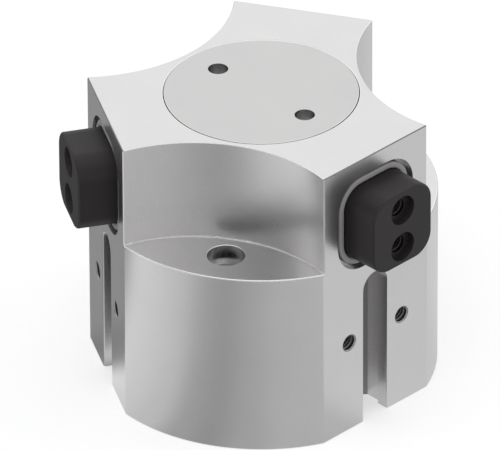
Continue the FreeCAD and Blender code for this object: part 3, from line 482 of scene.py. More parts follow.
@dataclass(frozen=True)
class TappedHole(Hole):
    """A hole that needs its thread.

    Attributes:
        core_mm: radius of the plain bore that CAD leaves, at the crests.
        pitch_mm: from crest to crest.
        lead_mm: depth of the bevel at its mouth, in front of the thread.
        widen: how far the bevel's inner ring moves out, as a share of its radius.
        raise_share: how far that ring moves up, as a share of the bevel's depth.
        flank: half the width of the ridge's root, in pitches.
        crest: width of the ridge's top, as a share of its root's.
        run_out: where the ridge starts behind the bevel, and how long it rises, in pitches.
        overlap_mm: how far the ridge's root reaches into the wall.
        steps: faces in one turn of the ridge.
    """

    # Tapped walls are painted dark as shade.
    zone: Zone = Zone.PAINTED_SHADE
    core_mm: float = 1.25
    pitch_mm: float = 0.5
    lead_mm: float = 0.0
    widen: float = 0.04
    raise_share: float = 0.37
    flank: float = 0.42
    crest: float = 0.2
    run_out: float = 0.6
    overlap_mm: float = 0.03
    steps: int = 24

    def on_wall(self, place: Vector) -> bool:
        """Say whether a place is on the wall of the plain bore.

        Args:
            place: a place on the mesh.

        Returns:
            Whether it is at the core's radius and no deeper than the thread.
        """
        depth, foot = self.place_of(place)
        if not -self.ahead_mm < depth < self.depth_mm + LOOSE_MM:
            return False
        return abs((place - foot).length - self.core_mm * MM) < NEAR_MM * MM

    def split_wall(self, form: bmesh.types.BMesh) -> None:
        """Cut the bore's wall just behind the bevel, so that it can step out there.

        Args:
            form: the mesh that has the bore.
        """
        wall = [face for face in form.faces if all(self.on_wall(vert.co) for vert in face.verts)]
        edges = {edge for face in wall for edge in face.edges}
        verts = {vert for face in wall for vert in face.verts}
        bmesh.ops.bisect_plane(
            form, geom=[*wall, *edges, *verts], dist=1e-7, plane_no=self.inward,
            plane_co=self.mouth + self.inward * ((self.lead_mm + LOOSE_MM) * MM),
        )

    def open_out(self, form: bmesh.types.BMesh) -> None:
        """Move the plain bore's wall out to the roots of the thread, behind the bevel.

        The bevel's inner ring moves out and up instead, because the real bevel is steeper.

        Args:
            form: the mesh that has the bore.
        """
        if self.lead_mm:
            self.split_wall(form)
        rim = (self.core_mm + self.lead_mm) * MM
        for vert in form.verts:
            depth, foot = self.place_of(vert.co)
            spoke = vert.co - foot
            wall = self.on_wall(vert.co)
            mouth = abs(depth) < NEAR_MM and abs(spoke.length - rim) < NEAR_MM * MM
            if wall and self.lead_mm and depth < self.lead_mm + NEAR_MM:
                vert.co += self.widen * spoke - self.inward * (self.raise_share * self.lead_mm * MM)
            elif wall or mouth:
                vert.co = foot + spoke * (self.radius_mm * MM / spoke.length)

    def cut_thread(self, form: bmesh.types.BMesh) -> None:
        """Wind the thread's ridge into the opened bore, with its start run out.

        Args:
            form: the mesh that gets the ridge.
        """
        turns = int((self.depth_mm - self.lead_mm - self.pitch_mm) / self.pitch_mm)
        aside = self.inward.orthogonal().normalized()
        half = self.flank * self.pitch_mm * MM
        outer, inner = (self.radius_mm + self.overlap_mm) * MM, self.core_mm * MM
        start = self.mouth + self.inward * ((self.lead_mm + self.run_out * self.pitch_mm) * MM)
        profile = [
            form.verts.new(start + aside * outer - self.inward * half),
            form.verts.new(start + aside * inner - self.inward * half * self.crest),
            form.verts.new(start + aside * inner + self.inward * half * self.crest),
            form.verts.new(start + aside * outer + self.inward * half),
        ]
        face = form.faces.new(profile)
        before = set(form.verts) - set(profile)
        bmesh.ops.spin(
            form, geom=[face, *face.edges, *profile], cent=start, axis=self.inward,
            dvec=self.inward * (self.pitch_mm * MM / self.steps), angle=2 * math.pi * turns,
            steps=self.steps * turns, use_merge=False, use_duplicate=False,
        )
        rise = self.run_out * self.pitch_mm * MM
        for vert in form.verts:
            if vert in before:
                continue
            along = (vert.co - start).dot(self.inward) + half
            if along < rise:
                foot = start + (along - half) * self.inward
                spoke = vert.co - foot
                share = max(along / rise, 0.0)
                vert.co = foot + spoke.normalized() * (outer + (spoke.length - outer) * share)


def finish_mesh(form: bmesh.types.BMesh, name: str) -> bpy.types.Object:
    """Turn a worked mesh into an object with smooth rounds and true flats.

    Args:
        form: the worked mesh, which is freed.
        name: name of the new object.

    Returns:
        The object, in the scene.
    """
    sharp, sharp_at_break = math.radians(40), math.radians(52)
    for face in form.faces:
        face.smooth = True
    for edge in form.edges:
        broken = any(face.material_index == Zone.EDGE for face in edge.link_faces)
        edge.smooth = edge.calc_face_angle(0.0) < (sharp_at_break if broken else sharp)
    mesh = bpy.data.meshes.new(name)
    form.to_mesh(mesh)
    form.free()
    if "custom_normal" in mesh.attributes:
        mesh.attributes.remove(mesh.attributes["custom_normal"])
    piece = bpy.data.objects.new(name, mesh)
    bpy.context.scene.collection.objects.link(piece)
    return piece


def merged_copy(node: str) -> bmesh.types.BMesh:
    """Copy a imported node's loose triangles and join them, flat faces whole.

    Args:
        node: name of the CAD node.

    Returns:
        The joined mesh.
    """
    weld, flat_deg = 1e-6, 0.2
    form = bmesh.new()
    form.from_mesh(frame["nodes"][node].data)
    bmesh.ops.remove_doubles(form, verts=form.verts, dist=weld)
    bmesh.ops.dissolve_limit(
        form, angle_limit=math.radians(flat_deg), verts=form.verts, edges=form.edges,
        use_dissolve_boundaries=False, delimit=set(),
    )
    return form


def break_edges(
    form: bmesh.types.BMesh, width_mm: float, chosen: Callable[[Vector], bool],
    least_deg: float = 50.0, steps: int = 2,
) -> None:
    """Break the sharp outer edges that have both ends where they are wanted.

    Args:
        form: the mesh.
        width_mm: width of the break.
        chosen: whether a place is one where edges are broken.
        least_deg: least angle between two faces that counts as sharp.
        steps: faces across the break.
    """
    edges = [
        edge for edge in form.edges
        if len(edge.link_faces) == 2 and edge.calc_face_angle() > math.radians(least_deg)
        and all(chosen(vert.co) for vert in edge.verts)
    ]
    bmesh.ops.bevel(
        form, geom=edges, offset=width_mm * MM, offset_type="OFFSET", affect="EDGES", segments=steps,
        profile=0.5, material=-1, clamp_overlap=False, loop_slide=True,
    )


def wound_threads(holes: Iterable[TappedHole], name: str, zone: Zone) -> bpy.types.Object:
    """Make the threads of some holes as one piece.

    Args:
        holes: the holes, opened out already.
        name: name of the piece.
        zone: what the threads are.

    Returns:
        The piece.
    """
    form = bmesh.new()
    for hole in holes:
        hole.cut_thread(form)
    bmesh.ops.recalc_face_normals(form, faces=form.faces)
    for face in form.faces:
        face.material_index = zone
    return finish_mesh(form, name)


@dataclass
class Assembly:
    """Pieces that are made and dressed together.

    Attributes:
        made: the pieces so far.
    """

    made: list[bpy.types.Object] = field(default_factory=list)

    def keep(
        self, piece: bpy.types.Object, body: str, slot: str, nodes: Iterable[str] = (),
        zones: Iterable[Finish] = (),
    ) -> None:
        """Dress a piece, put it on its body and report it.

        Args:
            piece: the finished piece.
            body: the CAD body that it moves with.
            slot: the record's material slot that its finish comes from.
            nodes: the CAD nodes that it stands for.
            zones: finishes of its zones after the skin, in their order.
        """
        even = piece.modifiers.new("even_normals", "WEIGHTED_NORMAL")
        even.keep_sharp = True
        FINISHES[slot].dress(piece)
        for finish in zones:
            piece.data.materials.append(finish.material())
        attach(piece, body)
        if nodes:
            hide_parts(*nodes)
        self.made.append(piece)
        log.info("%s: %d faces on %s", piece.name, len(piece.data.polygons), body)


@dataclass
class Body(Assembly):
    """The aluminium body and its threads.

    Attributes:
        radius_mm: radius of the round body.
        flat_mm: from the axis to a flat.
        upright_break_mm: break where a flat meets the round.
        base_break_mm: break round the base.
        base_from_mm: from the axis to where the base shows round the retaining ring.
        ledge_down_mm: from the top to the ledges.
        ledge_foot_mm: height of the fillet between a ledge and its scallop.
        pocket_down_mm: from the top to the lower edge of the groove round a jaw guide.
        pocket_half_mm: half the width of that groove.
        pocket_depth_mm: just over its depth.
        pocket_roof_mm: least height of the body above it.
        pocket_break_mm: break of its edge.
        slot_half_mm: half the width of a sensor slot at its mouth.
        slot_inside_mm: just over half its width behind the lips.
        slot_down_mm: from the top to the middle of its round end.
        slot_depth_mm: just over its depth.
        slot_taper_mm: depths between which the middles of its tapered faces lie.
        slot_break_mm: break of its mouth.
        mount_place_mm: from the axis to a mounting hole.
        mount_radius_mm: radius of its counterbore.
        mount_depth_mm: depth of its counterbore.
        mount_break_mm: break of the counterbore's mouth.
        mount_rim_mm: depth of the counterbore's wall that is finished like the ledge.
        screw_radius_mm: radius of the hole below the counterbore.
        screw_break_mm: bevel at that hole's mouth.
        side_place_mm: from a flat's middle to a side hole.
        side_height_mm: height of the side holes.
        side_root_mm: radius of the roots of their threads.
        side_depth_mm: length of their threads.
        side_lead_mm: depth of the bevel at their mouths.
        port_spot_mm: radius of the spot face round an air port.
        port_aside_deg: from the middle of the back to each air port.
        port_low_mm: height of the lower one.
        port_down_mm: from the top to the upper one.
        port_root_mm: radius of the roots of an air port's thread.
        port_core_mm: radius of its crests.
        port_pitch_mm: its pitch.
        port_depth_mm: its length.
    """

    radius_mm: float = 28.0
    flat_mm: float = 25.5
    upright_break_mm: float = 0.15
    base_break_mm: float = 0.12
    base_from_mm: float = 19.0
    ledge_down_mm: float = 17.5
    ledge_foot_mm: float = 0.31
    pocket_down_mm: float = 19.95
    pocket_half_mm: float = 8.3
    pocket_depth_mm: float = 2.1
    pocket_roof_mm: float = 0.5
    pocket_break_mm: float = 0.1
    slot_half_mm: float = 2.6
    slot_inside_mm: float = 3.3
    slot_down_mm: float = 24.85
    slot_depth_mm: float = 5.9
    slot_taper_mm: tuple[float, float] = (5.1, 5.7)
    slot_break_mm: float = 0.3
    mount_place_mm: float = 21.3
    mount_radius_mm: float = 3.0
    mount_depth_mm: float = 3.0
    mount_break_mm: float = 0.14
    mount_rim_mm: float = 0.3
    screw_radius_mm: float = 1.7
    screw_break_mm: float = 0.5
    side_place_mm: float = 5.85
    side_height_mm: float = 16.3
    side_root_mm: float = 1.5
    side_depth_mm: float = 6.0
    side_lead_mm: float = 0.35
    port_spot_mm: float = 4.2
    port_aside_deg: float = 18.0
    port_low_mm: float = 6.7
    port_down_mm: float = 33.2
    port_root_mm: float = 2.5
    port_core_mm: float = 2.1
    port_pitch_mm: float = 0.8
    port_depth_mm: float = 6.1

    @property
    def ledge_mm(self) -> float:
        """Height of the ledges."""
        return TOP_MM - self.ledge_down_mm

    @property
    def pocket_mm(self) -> float:
        """Height of the lower edge of the groove round a jaw guide."""
        return TOP_MM - self.pocket_down_mm

    @property
    def slot_end_mm(self) -> float:
        """Height of the middle of a sensor slot's round end."""
        return TOP_MM - self.slot_down_mm

    def spot(self, place: Vector) -> tuple[float, float, float]:
        """Say where a place is as seen on the nearest flat.

        Args:
            place: a place on the body.

        Returns:
            Its depth behind the flat, how far it is beside the flat's middle, and its height, in
            millimetres.
        """
        out = nearest_arm(place)
        return self.flat_mm - place.dot(out) / MM, place.dot(UP.cross(out)) / MM, place.z / MM

    def slot_mouth(self, place: Vector) -> bool:
        """Say whether a place is on the mouth of a sensor slot.

        Args:
            place: a place on the body.

        Returns:
            Whether it is on a flat and on the slot's outline.
        """
        stray_mm = 0.03
        depth, side, high = self.spot(place)
        reach = math.hypot(side, max(high - self.slot_end_mm, 0.0))
        return abs(depth) <= NEAR_MM and abs(reach - self.slot_half_mm) < stray_mm

    def pocket_mouth(self, place: Vector) -> bool:
        """Say whether a place is on the mouth of the groove round a jaw guide.

        Args:
            place: a place on the body.

        Returns:
            Whether it is on a flat and in the groove's square.
        """
        depth, side, high = self.spot(place)
        within = high > self.pocket_mm - LOOSE_MM and abs(side) < self.pocket_half_mm + LOOSE_MM
        return abs(depth) <= NEAR_MM and within

    def upright(self, place: Vector) -> bool:
        """Whether a place is where a flat meets the round below a ledge."""
        rim = abs(math.hypot(place.x, place.y) / MM - self.radius_mm) < NEAR_MM
        return rim and abs(self.spot(place)[0]) <= NEAR_MM

    def base_edge(self, place: Vector) -> bool:
        """Whether a place is on the base, outside the retaining ring."""
        return abs(place.z) < NEAR_MM * MM and math.hypot(place.x, place.y) > self.base_from_mm * MM

    def mount_mouth(self, place: Vector) -> bool:
        """Say whether a place is on the mouth of a counterbore.

        Args:
            place: a place on the body.

        Returns:
            Whether it is on a ledge and at the counterbore's radius.
        """
        level = abs(place.z / MM - self.ledge_mm) < NEAR_MM
        return level and any(
            (place - hole.mouth).length < (hole.radius_mm + LOOSE_MM) * MM for hole in self.mounts()
        )

    def screw_mouth(self, place: Vector) -> bool:
        """Say whether a place is on the mouth of a mounting screw's hole, where its counterbore ends.

        Args:
            place: a place on the body.

        Returns:
            Whether it is on the counterbore's floor and at the hole's own radius.
        """
        return any(
            abs(depth) < NEAR_MM and (place - foot).length < (self.screw_radius_mm + LOOSE_MM) * MM
            for depth, foot in (hole.place_of(place) for hole in self.screw_holes())
        )

    def recess(self, place: Vector) -> Zone:
        """Say what kind of surface the recesses of the flats have at a place.

        Args:
            place: the middle of a face of the body.

        Returns:
            The zone: bored and painted darker as shade in a sensor slot and in the groove round a
                guide, painted darkest as shade on the slot's taper, or else the skin.
        """
        depth, side, high = self.spot(place)
        lip_mm, aside_mm = 0.15, 0.1
        slot = (
            lip_mm < depth < self.slot_depth_mm and abs(side) < self.slot_inside_mm
            and LOOSE_MM < high < self.slot_end_mm + self.slot_inside_mm
        )
        groove = (
            NEAR_MM < depth < self.pocket_depth_mm and abs(side) < self.pocket_half_mm + aside_mm
            and self.pocket_mm - aside_mm < high < TOP_MM - self.pocket_roof_mm
        )
        taper, floor = self.slot_taper_mm
        # The slot's taper is painted dark as shade.
        if slot and depth > taper:
            return Zone.PAINTED_SHADE if depth < floor else Zone.SKIN
        # Slots and grooves are painted darker as shade.
        return Zone.BORED if slot or groove else Zone.SKIN

    def slope(self, face: bmesh.types.BMFace) -> Zone | None:
        """Say what a slanted face on the top, on a ledge's rim or at a counterbore's mouth is.

        Args:
            face: a slanted face of the body.

        Returns:
            Its zone, or None if it is elsewhere: painted shade on the top's bevels above the flats, and
                the bright edge zone as painted highlight on the rest.
        """
        band_mm, inside_mm = 0.3, 0.4
        middle = face.calc_center_median()
        heights = [vert.co.z / MM for vert in face.verts]
        reach = min(math.hypot(vert.co.x, vert.co.y) for vert in face.verts) / MM
        if min(heights) > TOP_MM - band_mm:
            flat = middle.dot(nearest_arm(middle)) > (self.flat_mm - band_mm) * MM
            # The top's bevels above the flats are painted dark as shade, the others bright as
            # highlights.
            return Zone.PAINTED_SHADE if flat else Zone.EDGE
        rim = abs(max(heights) - self.ledge_mm) < NEAR_MM and reach > self.radius_mm - inside_mm
        mount = min((middle - hole.mouth).length for hole in self.mounts())
        # Ledge rims and counterbore bevels are painted bright as highlights.
        return Zone.EDGE if rim or mount < (self.mount_radius_mm + BESIDE_MM) * MM else None

    def mark_faces(self, form: bmesh.types.BMesh) -> None:
        """Put the faces in their zones: painted shade in slots, grooves and the fillets of the ledges,
        and painted highlights on bright edges.

        Args:
            form: the body's mesh.
        """
        level = 0.98
        for face in form.faces:
            face.material_index = self.recess(face.calc_center_median())
            heights = [vert.co.z / MM for vert in face.verts]
            low, high = min(heights), max(heights)
            on_foot = self.ledge_mm - NEAR_MM < low and high < self.ledge_mm + self.ledge_foot_mm
            # The fillet at a ledge's foot is painted darker as the shade in its crease.
            if on_foot and face.normal.z < level:
                face.material_index = Zone.BORED
            elif SLANTED < face.normal.z < SQUARE:
                zone = self.slope(face)
                if zone is not None:
                    face.material_index = zone

    def mounts(self) -> list[Hole]:
        """Lay out the mounting holes as wide as their counterbores, from the ledges down.

        Returns:
            The three holes.
        """
        holes = []
        for arm in ARMS:
            mouth = -outward(arm) * self.mount_place_mm * MM
            mouth.z = self.ledge_mm * MM
            # A counterbore's wall is painted darker as shade, and its floor bright as painted light.
            holes.append(Hole(
                mouth, -UP, self.mount_radius_mm, self.ledge_mm, self.mount_rim_mm, floor=Zone.EDGE,
            ))
        return holes

    def screw_holes(self) -> list[Hole]:
        """Lay out the holes below the counterbores, drilled after anodising.

        Returns:
            The three holes.
        """
        radius, depth = self.screw_radius_mm + self.screw_break_mm, self.ledge_mm - self.mount_depth_mm
        drop = UP * self.mount_depth_mm * MM
        # Their walls are painted greyer as shade.
        return [Hole(hole.mouth - drop, -UP, radius, depth, zone=Zone.SUNK) for hole in self.mounts()]

    def side_holes(self) -> list[TappedHole]:
        """Lay out the two tapped holes in each flat.

        Returns:
            The six holes.
        """
        rim_mm = self.side_lead_mm + NEAR_MM
        holes = []
        for arm in ARMS:
            out = outward(arm)
            for side in (-1, 1):
                mouth = out * self.flat_mm * MM + UP.cross(out) * side * self.side_place_mm * MM
                mouth.z = self.side_height_mm * MM
                # Their bevelled rims are painted greyer as shade.
                holes.append(TappedHole(
                    mouth, -out, self.side_root_mm, self.side_depth_mm, rim_mm, rim=Zone.SUNK,
                    lead_mm=self.side_lead_mm,
                ))
        return holes

    def ports(self) -> list[TappedHole]:
        """Lay out the two tapped air ports at the back.

        Returns:
            The two ports.
        """
        face_mm = math.sqrt(self.radius_mm ** 2 - self.port_spot_mm ** 2)
        holes = []
        for side, height_mm in ((1, self.port_low_mm), (-1, TOP_MM - self.port_down_mm)):
            angle = math.radians(180 + side * self.port_aside_deg)
            out = Vector((math.cos(angle), math.sin(angle), 0))
            mouth = out * face_mm * MM
            mouth.z = height_mm * MM
            holes.append(TappedHole(
                mouth, -out, self.port_root_mm, self.port_depth_mm, core_mm=self.port_core_mm,
                pitch_mm=self.port_pitch_mm,
            ))
        return holes

    def build(self) -> None:
        """Make the body and its threads."""
        form = merged_copy("housing")
        tapped = self.side_holes() + self.ports()
        for hole in tapped:
            hole.open_out(form)
        break_edges(form, self.slot_break_mm, self.slot_mouth)
        break_edges(form, self.pocket_break_mm, self.pocket_mouth)
        break_edges(form, self.mount_break_mm, self.mount_mouth)
        break_edges(form, self.screw_break_mm, self.screw_mouth, steps=1)
        break_edges(form, self.upright_break_mm, self.upright, least_deg=20)
        break_edges(form, self.base_break_mm, self.base_edge)
        self.mark_faces(form)
        for hole in self.mounts() + self.screw_holes() + tapped:
            hole.mark(form)
        slot = SLOTS["housing"]
        self.keep(finish_mesh(form, "gripper_body"), "housing", slot, ["housing"], ZONES.values())
        # The threads are painted dark as shade inside the holes.
        threads = wound_threads(tapped, "body_threads", Zone.PAINTED_SHADE)
        self.keep(threads, "housing", slot, zones=ZONES.values())


@dataclass
class Cover(Assembly):
    """The turned cover in the top, with its two blind holes for a pin spanner.

    Attributes:
        eye_place_mm: from the axis to a blind hole.
        eye_radius_mm: radius of a blind hole.
        eye_depth_mm: depth of a blind hole.
        eye_rim_mm: depth of its wall that is finished like the face.
        eye_break_mm: break of its mouth.
        rim_break_mm: break of the cover's own edge.
    """

    eye_place_mm: float = 9.72
    eye_radius_mm: float = 1.6
    eye_depth_mm: float = 2.8
    eye_rim_mm: float = 0.3
    eye_break_mm: float = 0.06
    rim_break_mm: float = 0.07

    def eyes(self) -> list[Hole]:
        """Lay out the two blind holes.

        Returns:
            The two holes.
        """
        places = [Vector((side * self.eye_place_mm, 0, TOP_MM)) * MM for side in (-1, 1)]
        return [
            Hole(place, -UP, self.eye_radius_mm, self.eye_depth_mm, self.eye_rim_mm) for place in places
        ]

    def on_face(self, place: Vector) -> bool:
        """Whether a place is on the cover's face."""
        return abs(place.z / MM - TOP_MM) < NEAR_MM

    def eye_mouth(self, place: Vector) -> bool:
        """Say whether a place is on the mouth of a blind hole.

        Args:
            place: a place on the cover.

        Returns:
            Whether it is on the face and at the hole's radius.
        """
        return self.on_face(place) and any(
            (place - eye.mouth).length < (eye.radius_mm + LOOSE_MM) * MM for eye in self.eyes()
        )

    def build(self) -> None:
        """Make the cover."""
        band_mm = 0.1
        form = merged_copy("top_cover")
        inside = max(vert.co.x for vert in form.verts) - BESIDE_MM * MM
        break_edges(
            form, self.rim_break_mm, lambda place: self.on_face(place) and place.xy.length > inside,
        )
        # The bevel round the cover's face is painted bright as a highlight.
        for face in form.faces:
            high = face.calc_center_median().z > (TOP_MM - band_mm) * MM
            if high and SLANTED < face.normal.z < SQUARE:
                face.material_index = Zone.EDGE
        break_edges(form, self.eye_break_mm, self.eye_mouth)
        # The blind holes' walls are painted darker as shade.
        for eye in self.eyes():
            eye.mark(form)
        slot = SLOTS["top_cover"]
        self.keep(finish_mesh(form, "cover_disc"), "housing", slot, ["top_cover"], ZONES.values())


@dataclass
class JawUnit(Assembly):
    """One base jaw and the sleeve that guides it.

    Attributes:
        arm: number of the arm, from 1 to 3.
        face_mm: from the axis to the jaw's face, which for jaw 1 is the side of the frame's box.
        front_mm: length of the jaw, behind its face, that gets its edges broken.
        break_mm: break of the jaw's edges.
        down_mm: from the top to the jaw's middle.
        apart_mm: from one threaded hole to the other.
        centring_mm: depth of the wide mouth in front of a thread.
        root_mm: radius of the roots of a thread.
        thread_mm: length of a thread.
        guide_from_mm: from the axis to where the sleeve shows.
        guide_break_mm: round of the sleeve's edges.
    """

    arm: int = 1
    face_mm: float = CAD_BOX[1][0] / MM
    front_mm: float = 1.5
    break_mm: float = 0.07
    down_mm: float = 11.45
    apart_mm: float = 6.75
    centring_mm: float = 1.3
    root_mm: float = 1.5
    thread_mm: float = 6.7
    guide_from_mm: float = 25.0
    guide_break_mm: float = 0.38

    def holes(self) -> list[TappedHole]:
        """Lay out the jaw's two threaded holes, from behind their centring mouths.

        Returns:
            The two holes, the lower one first.
        """
        out = outward(self.arm)
        holes = []
        for side in (-1, 1):
            mouth = out * (self.face_mm - self.centring_mm) * MM
            mouth.z = (TOP_MM - self.down_mm + side * self.apart_mm / 2) * MM
            holes.append(TappedHole(mouth, -out, self.root_mm, self.thread_mm, zone=Zone.BORED))
        return holes

    def jaw(self) -> None:
        """Make the jaw and its threads."""
        out, node, holes = outward(self.arm), f"jaw_{self.arm}", self.holes()
        form = merged_copy(node)
        for hole in holes:
            hole.open_out(form)
        front = (self.face_mm - self.front_mm) * MM
        break_edges(form, self.break_mm, lambda place: place.dot(out) > front, least_deg=40)
        for hole in holes:
            hole.mark(form)
        # The holes' walls take the nearly black oxide as painted shade.
        self.keep(finish_mesh(form, f"base_jaw_{self.arm}"), node, SLOTS[node], [node], [JAW_HOLES])
        threads = wound_threads(holes, f"finger_threads_{self.arm}", Zone.SKIN)
        self.keep(threads, node, SLOTS[node])

    def guide(self) -> None:
        """Make the sleeve, with its rounded edge."""
        out, node = outward(self.arm), f"jaw_guide_{self.arm}"
        form = merged_copy(node)
        front = self.guide_from_mm * MM
        break_edges(form, self.guide_break_mm, lambda place: place.dot(out) > front, steps=4)
        self.keep(finish_mesh(form, f"guide_sleeve_{self.arm}"), "housing", SLOTS[node], [node])

    def build(self) -> None:
        """Make the jaw, its threads and its guide."""
        self.jaw()
        self.guide()


@dataclass
class Drive(Assembly):
    """What stays as CAD made it: the cap, the piston, its rod, the levers and what holds them."""

    def build(self) -> None:
        """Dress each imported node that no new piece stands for."""
        for name, node in sorted(frame["nodes"].items()):
            if node.hide_render:
                continue
            FINISHES[SLOTS[name]].dress(node)
            self.made.append(node)
            log.info("%s: dressed as %s", name, SLOTS[name])


# Studio


@dataclass
class Studio:
    """Floor, surroundings, lamps and the camera at the photograph's angle.

    Attributes:
        azimuth_deg: the camera's angle round the part, from the front towards the right.
        elevation_deg: its angle above the floor.
        roll_deg: its turn about its own line of sight.
        distance: from the camera to the target.
        focal_px: its focal length in pixels of the photograph.
        width_px: width of the photograph.
        height_px: height of the photograph.
        sensor_width_mm: width of the camera's sensor.
        target: the place that the camera is set by.
        target_px: where that place is in the photograph.
        fill: strength of the even light from all round.
        floor_radius: radius of the floor.
        floor_drop: how far it is below the part.
        floor_glow: strength of the glow that turns it white for the camera.
        floor_tones: what metal mirrors of the floor, by the angle round the part in degrees.
        wall_radius: from the part to the arc of grey card.
        wall_heights: height of its lower and its upper edge.
        wall_start_deg: angle of its start.
        wall_sweep_deg: angle that it takes up.
        wall_tones: what metal mirrors of it, by the angle round the part in degrees.
    """

    azimuth_deg: float = 45.47
    elevation_deg: float = 32.54
    roll_deg: float = -0.267
    distance: float = 2.0
    focal_px: float = 12580.0
    width_px: float = 500.0
    height_px: float = 450.0
    sensor_width_mm: float = 36.0
    target: Vector = field(default_factory=lambda: Vector((0, 0, 0.0245)))
    target_px: tuple[float, float] = (261.83, 223.73)
    fill: float = 0.7
    floor_radius: float = 3.0
    floor_drop: float = 0.0001
    floor_glow: float = 0.55
    floor_tones: Tones = (
        (-180, 0.31), (-165, 0.32), (-150, 0.31), (-138, 0.24), (-131, 0.26), (-118, 0.84),
        (-103, 0.75), (-88, 0.65), (-75, 0.42), (-64, 0.355), (-50, 0.45), (-36, 0.53),
        (-12, 0.56), (1, 0.7), (40, 0.68), (75, 0.75), (110, 0.6), (145, 0.45), (180, 0.31),
    )
    wall_radius: float = 1.2
    wall_heights: tuple[float, float] = (0.4, 1.33)
    wall_start_deg: float = -165.0
    wall_sweep_deg: float = 200.0
    wall_tones: Tones = (
        (-180, 0.8), (-136, 0.8), (-120, 0.23), (-100, 0.165), (-75, 0.25), (-45, 0.45),
        (-15, 0.63), (180, 0.64),
    )

    def camera(self) -> None:
        """Set the camera so that the target falls on its own place in the picture."""
        azimuth, elevation = math.radians(self.azimuth_deg), math.radians(self.elevation_deg)
        roll = math.radians(self.roll_deg)
        back = Vector((
            math.sin(azimuth) * math.cos(elevation), -math.cos(azimuth) * math.cos(elevation),
            math.sin(elevation),
        ))
        level = UP.cross(back).normalized()
        steep = back.cross(level)
        right = math.cos(roll) * level + math.sin(roll) * steep
        above = math.cos(roll) * steep - math.sin(roll) * level
        per_px = self.distance / self.focal_px
        place = self.target + back * self.distance
        place -= right * (self.target_px[0] - self.width_px / 2) * per_px
        place += above * (self.target_px[1] - self.height_px / 2) * per_px
        data = bpy.data.cameras.new("camera")
        data.sensor_width = self.sensor_width_mm
        data.lens = self.focal_px / self.width_px * data.sensor_width
        data.clip_start, data.clip_end = 0.1, 10.0
        camera = bpy.data.objects.new("camera", data)
        axes = Matrix((right, above, back)).transposed().to_4x4()
        camera.matrix_world = Matrix.Translation(place) @ axes
        bpy.context.scene.collection.objects.link(camera)
        bpy.context.scene.camera = camera

    def surroundings(self) -> None:
        """Light the part evenly, and show white to the camera and in reflections."""
        world = bpy.data.worlds.new("studio")
        tree = blank_tree(world)
        path = add_node(tree, "ShaderNodeLightPath").outputs
        seen = add_node(
            tree, "ShaderNodeMath", {0: path["Is Camera Ray"], 1: path["Is Glossy Ray"]},
            operation="MAXIMUM",
        )
        seen = add_node(
            tree, "ShaderNodeMath", {0: seen.outputs[0], 1: path["Is Transmission Ray"]},
            operation="MAXIMUM",
        )
        even = add_node(
            tree, "ShaderNodeBackground", {"Color": linear("#F4F5F7"), "Strength": self.fill},
        )
        white = add_node(tree, "ShaderNodeBackground", {"Color": linear("#FFFFFF"), "Strength": 1.0})
        mix = add_node(
            tree, "ShaderNodeMixShader", {0: seen.outputs[0], 1: even.outputs[0], 2: white.outputs[0]},
        )
        add_node(tree, "ShaderNodeOutputWorld", {"Surface": mix.outputs[0]})
        bpy.context.scene.world = world

    def floor(self) -> None:
        """Lay a plain pale floor that turns white for the camera and keeps the shadow."""
        form = bmesh.new()
        bmesh.ops.create_circle(form, cap_ends=True, segments=64, radius=self.floor_radius)
        bmesh.ops.translate(form, verts=form.verts, vec=(0, 0, -self.floor_drop))
        floor = finish_mesh(form, "floor")
        material = bpy.data.materials.new("painted_studio_floor")
        tree = blank_tree(material)
        path = add_node(tree, "ShaderNodeLightPath").outputs
        card = self.grey_card(tree, self.floor_tones)
        matt = add_node(tree, "ShaderNodeBsdfDiffuse", {"Color": linear("#C8C8C8")})
        glow = add_node(
            tree, "ShaderNodeEmission", {"Color": linear("#FFFFFF"), "Strength": self.floor_glow},
        )
        white = add_node(tree, "ShaderNodeAddShader", {0: matt.outputs[0], 1: glow.outputs[0]})
        seen = add_node(
            tree, "ShaderNodeMixShader",
            {0: path["Is Camera Ray"], 1: matt.outputs[0], 2: white.outputs[0]},
        )
        seen = add_node(
            tree, "ShaderNodeMixShader",
            {0: path["Is Glossy Ray"], 1: seen.outputs[0], 2: card.outputs[0]},
        )
        add_node(tree, "ShaderNodeOutputMaterial", {"Surface": seen.outputs[0]})
        floor.data.materials.append(material)

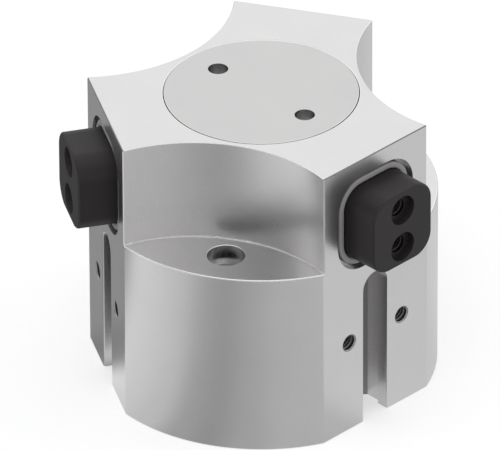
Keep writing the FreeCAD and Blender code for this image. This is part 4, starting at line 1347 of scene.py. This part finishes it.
    @staticmethod
    def grey_card(tree: bpy.types.NodeTree, tones: Tones) -> bpy.types.Node:
        """Make a glow that changes with the angle round the part.

        Args:
            tree: the material's node tree.
            tones: angle in degrees and how bright it is there, from -180 to 180.

        Returns:
            The emission node.
        """
        place = add_node(tree, "ShaderNodeTexCoord").outputs["Object"]
        around = add_node(tree, "ShaderNodeTexGradient", {"Vector": place}, gradient_type="RADIAL")
        cards = add_node(tree, "ShaderNodeValToRGB", {"Fac": around.outputs["Fac"]})
        ramp = cards.color_ramp
        ramp.interpolation = "EASE"
        while len(ramp.elements) < len(tones):
            ramp.elements.new(0.5)
        for element, (angle, tone) in zip(ramp.elements, tones):
            element.position = (angle + 180) / 360
            element.color = (tone, tone, tone, 1)
        return add_node(tree, "ShaderNodeEmission", {"Color": cards.outputs["Color"], "Strength": 1.0})

    def card_wall(self) -> None:
        """Stand a low arc of grey card in front of the part, seen only in what mirrors it."""
        start, sweep = math.radians(self.wall_start_deg), math.radians(self.wall_sweep_deg)
        x, y = self.wall_radius * math.cos(start), self.wall_radius * math.sin(start)
        form = bmesh.new()
        edge = form.edges.new([form.verts.new((x, y, z)) for z in self.wall_heights])
        bmesh.ops.spin(
            form, geom=[edge, *edge.verts], cent=(0, 0, 0), axis=UP, angle=sweep, steps=40,
            use_merge=False,
        )
        wall = finish_mesh(form, "grey_card")
        wall.visible_camera = wall.visible_diffuse = False
        wall.visible_shadow = wall.visible_transmission = False
        material = bpy.data.materials.new("grey_card")
        tree = blank_tree(material)
        card = self.grey_card(tree, self.wall_tones)
        add_node(tree, "ShaderNodeOutputMaterial", {"Surface": card.outputs[0]})
        wall.data.materials.append(material)

    def lamps(self) -> None:
        """Hang two broad soft lamps, which no metal mirrors."""
        for name, place, size, watts in (
            ("front_softbox", Vector((0.07, -0.46, 0.99)), 0.9, 2.6),
            ("right_softbox", Vector((0.59, 0.65, 0.66)), 0.6, 1.1),
        ):
            data = bpy.data.lights.new(name, "AREA")
            data.shape, data.size, data.energy = "DISK", size, watts
            lamp = bpy.data.objects.new(name, data)
            lamp.visible_glossy = False
            lamp.location = place
            lamp.rotation_mode = "QUATERNION"
            lamp.rotation_quaternion = (place - self.target).to_track_quat("Z", "Y")
            bpy.context.scene.collection.objects.link(lamp)

    def build(self) -> None:
        """Set up everything round the part."""
        self.camera()
        self.surroundings()
        self.floor()
        self.card_wall()
        self.lamps()
        bpy.context.scene.view_settings.view_transform = "Standard"


def main() -> None:
    """Build the gripper and its studio."""
    logging.basicConfig(level=logging.INFO, format="%(name)s: %(message)s")
    Studio().build()
    jaws = [JawUnit(arm=arm) for arm in ARMS]
    for group in (Body(), Cover(), *jaws, Drive()):
        group.build()
        log.info("%s is done, pieces: %d", type(group).__name__, len(group.made))


if __name__ == "__main__":
    main()
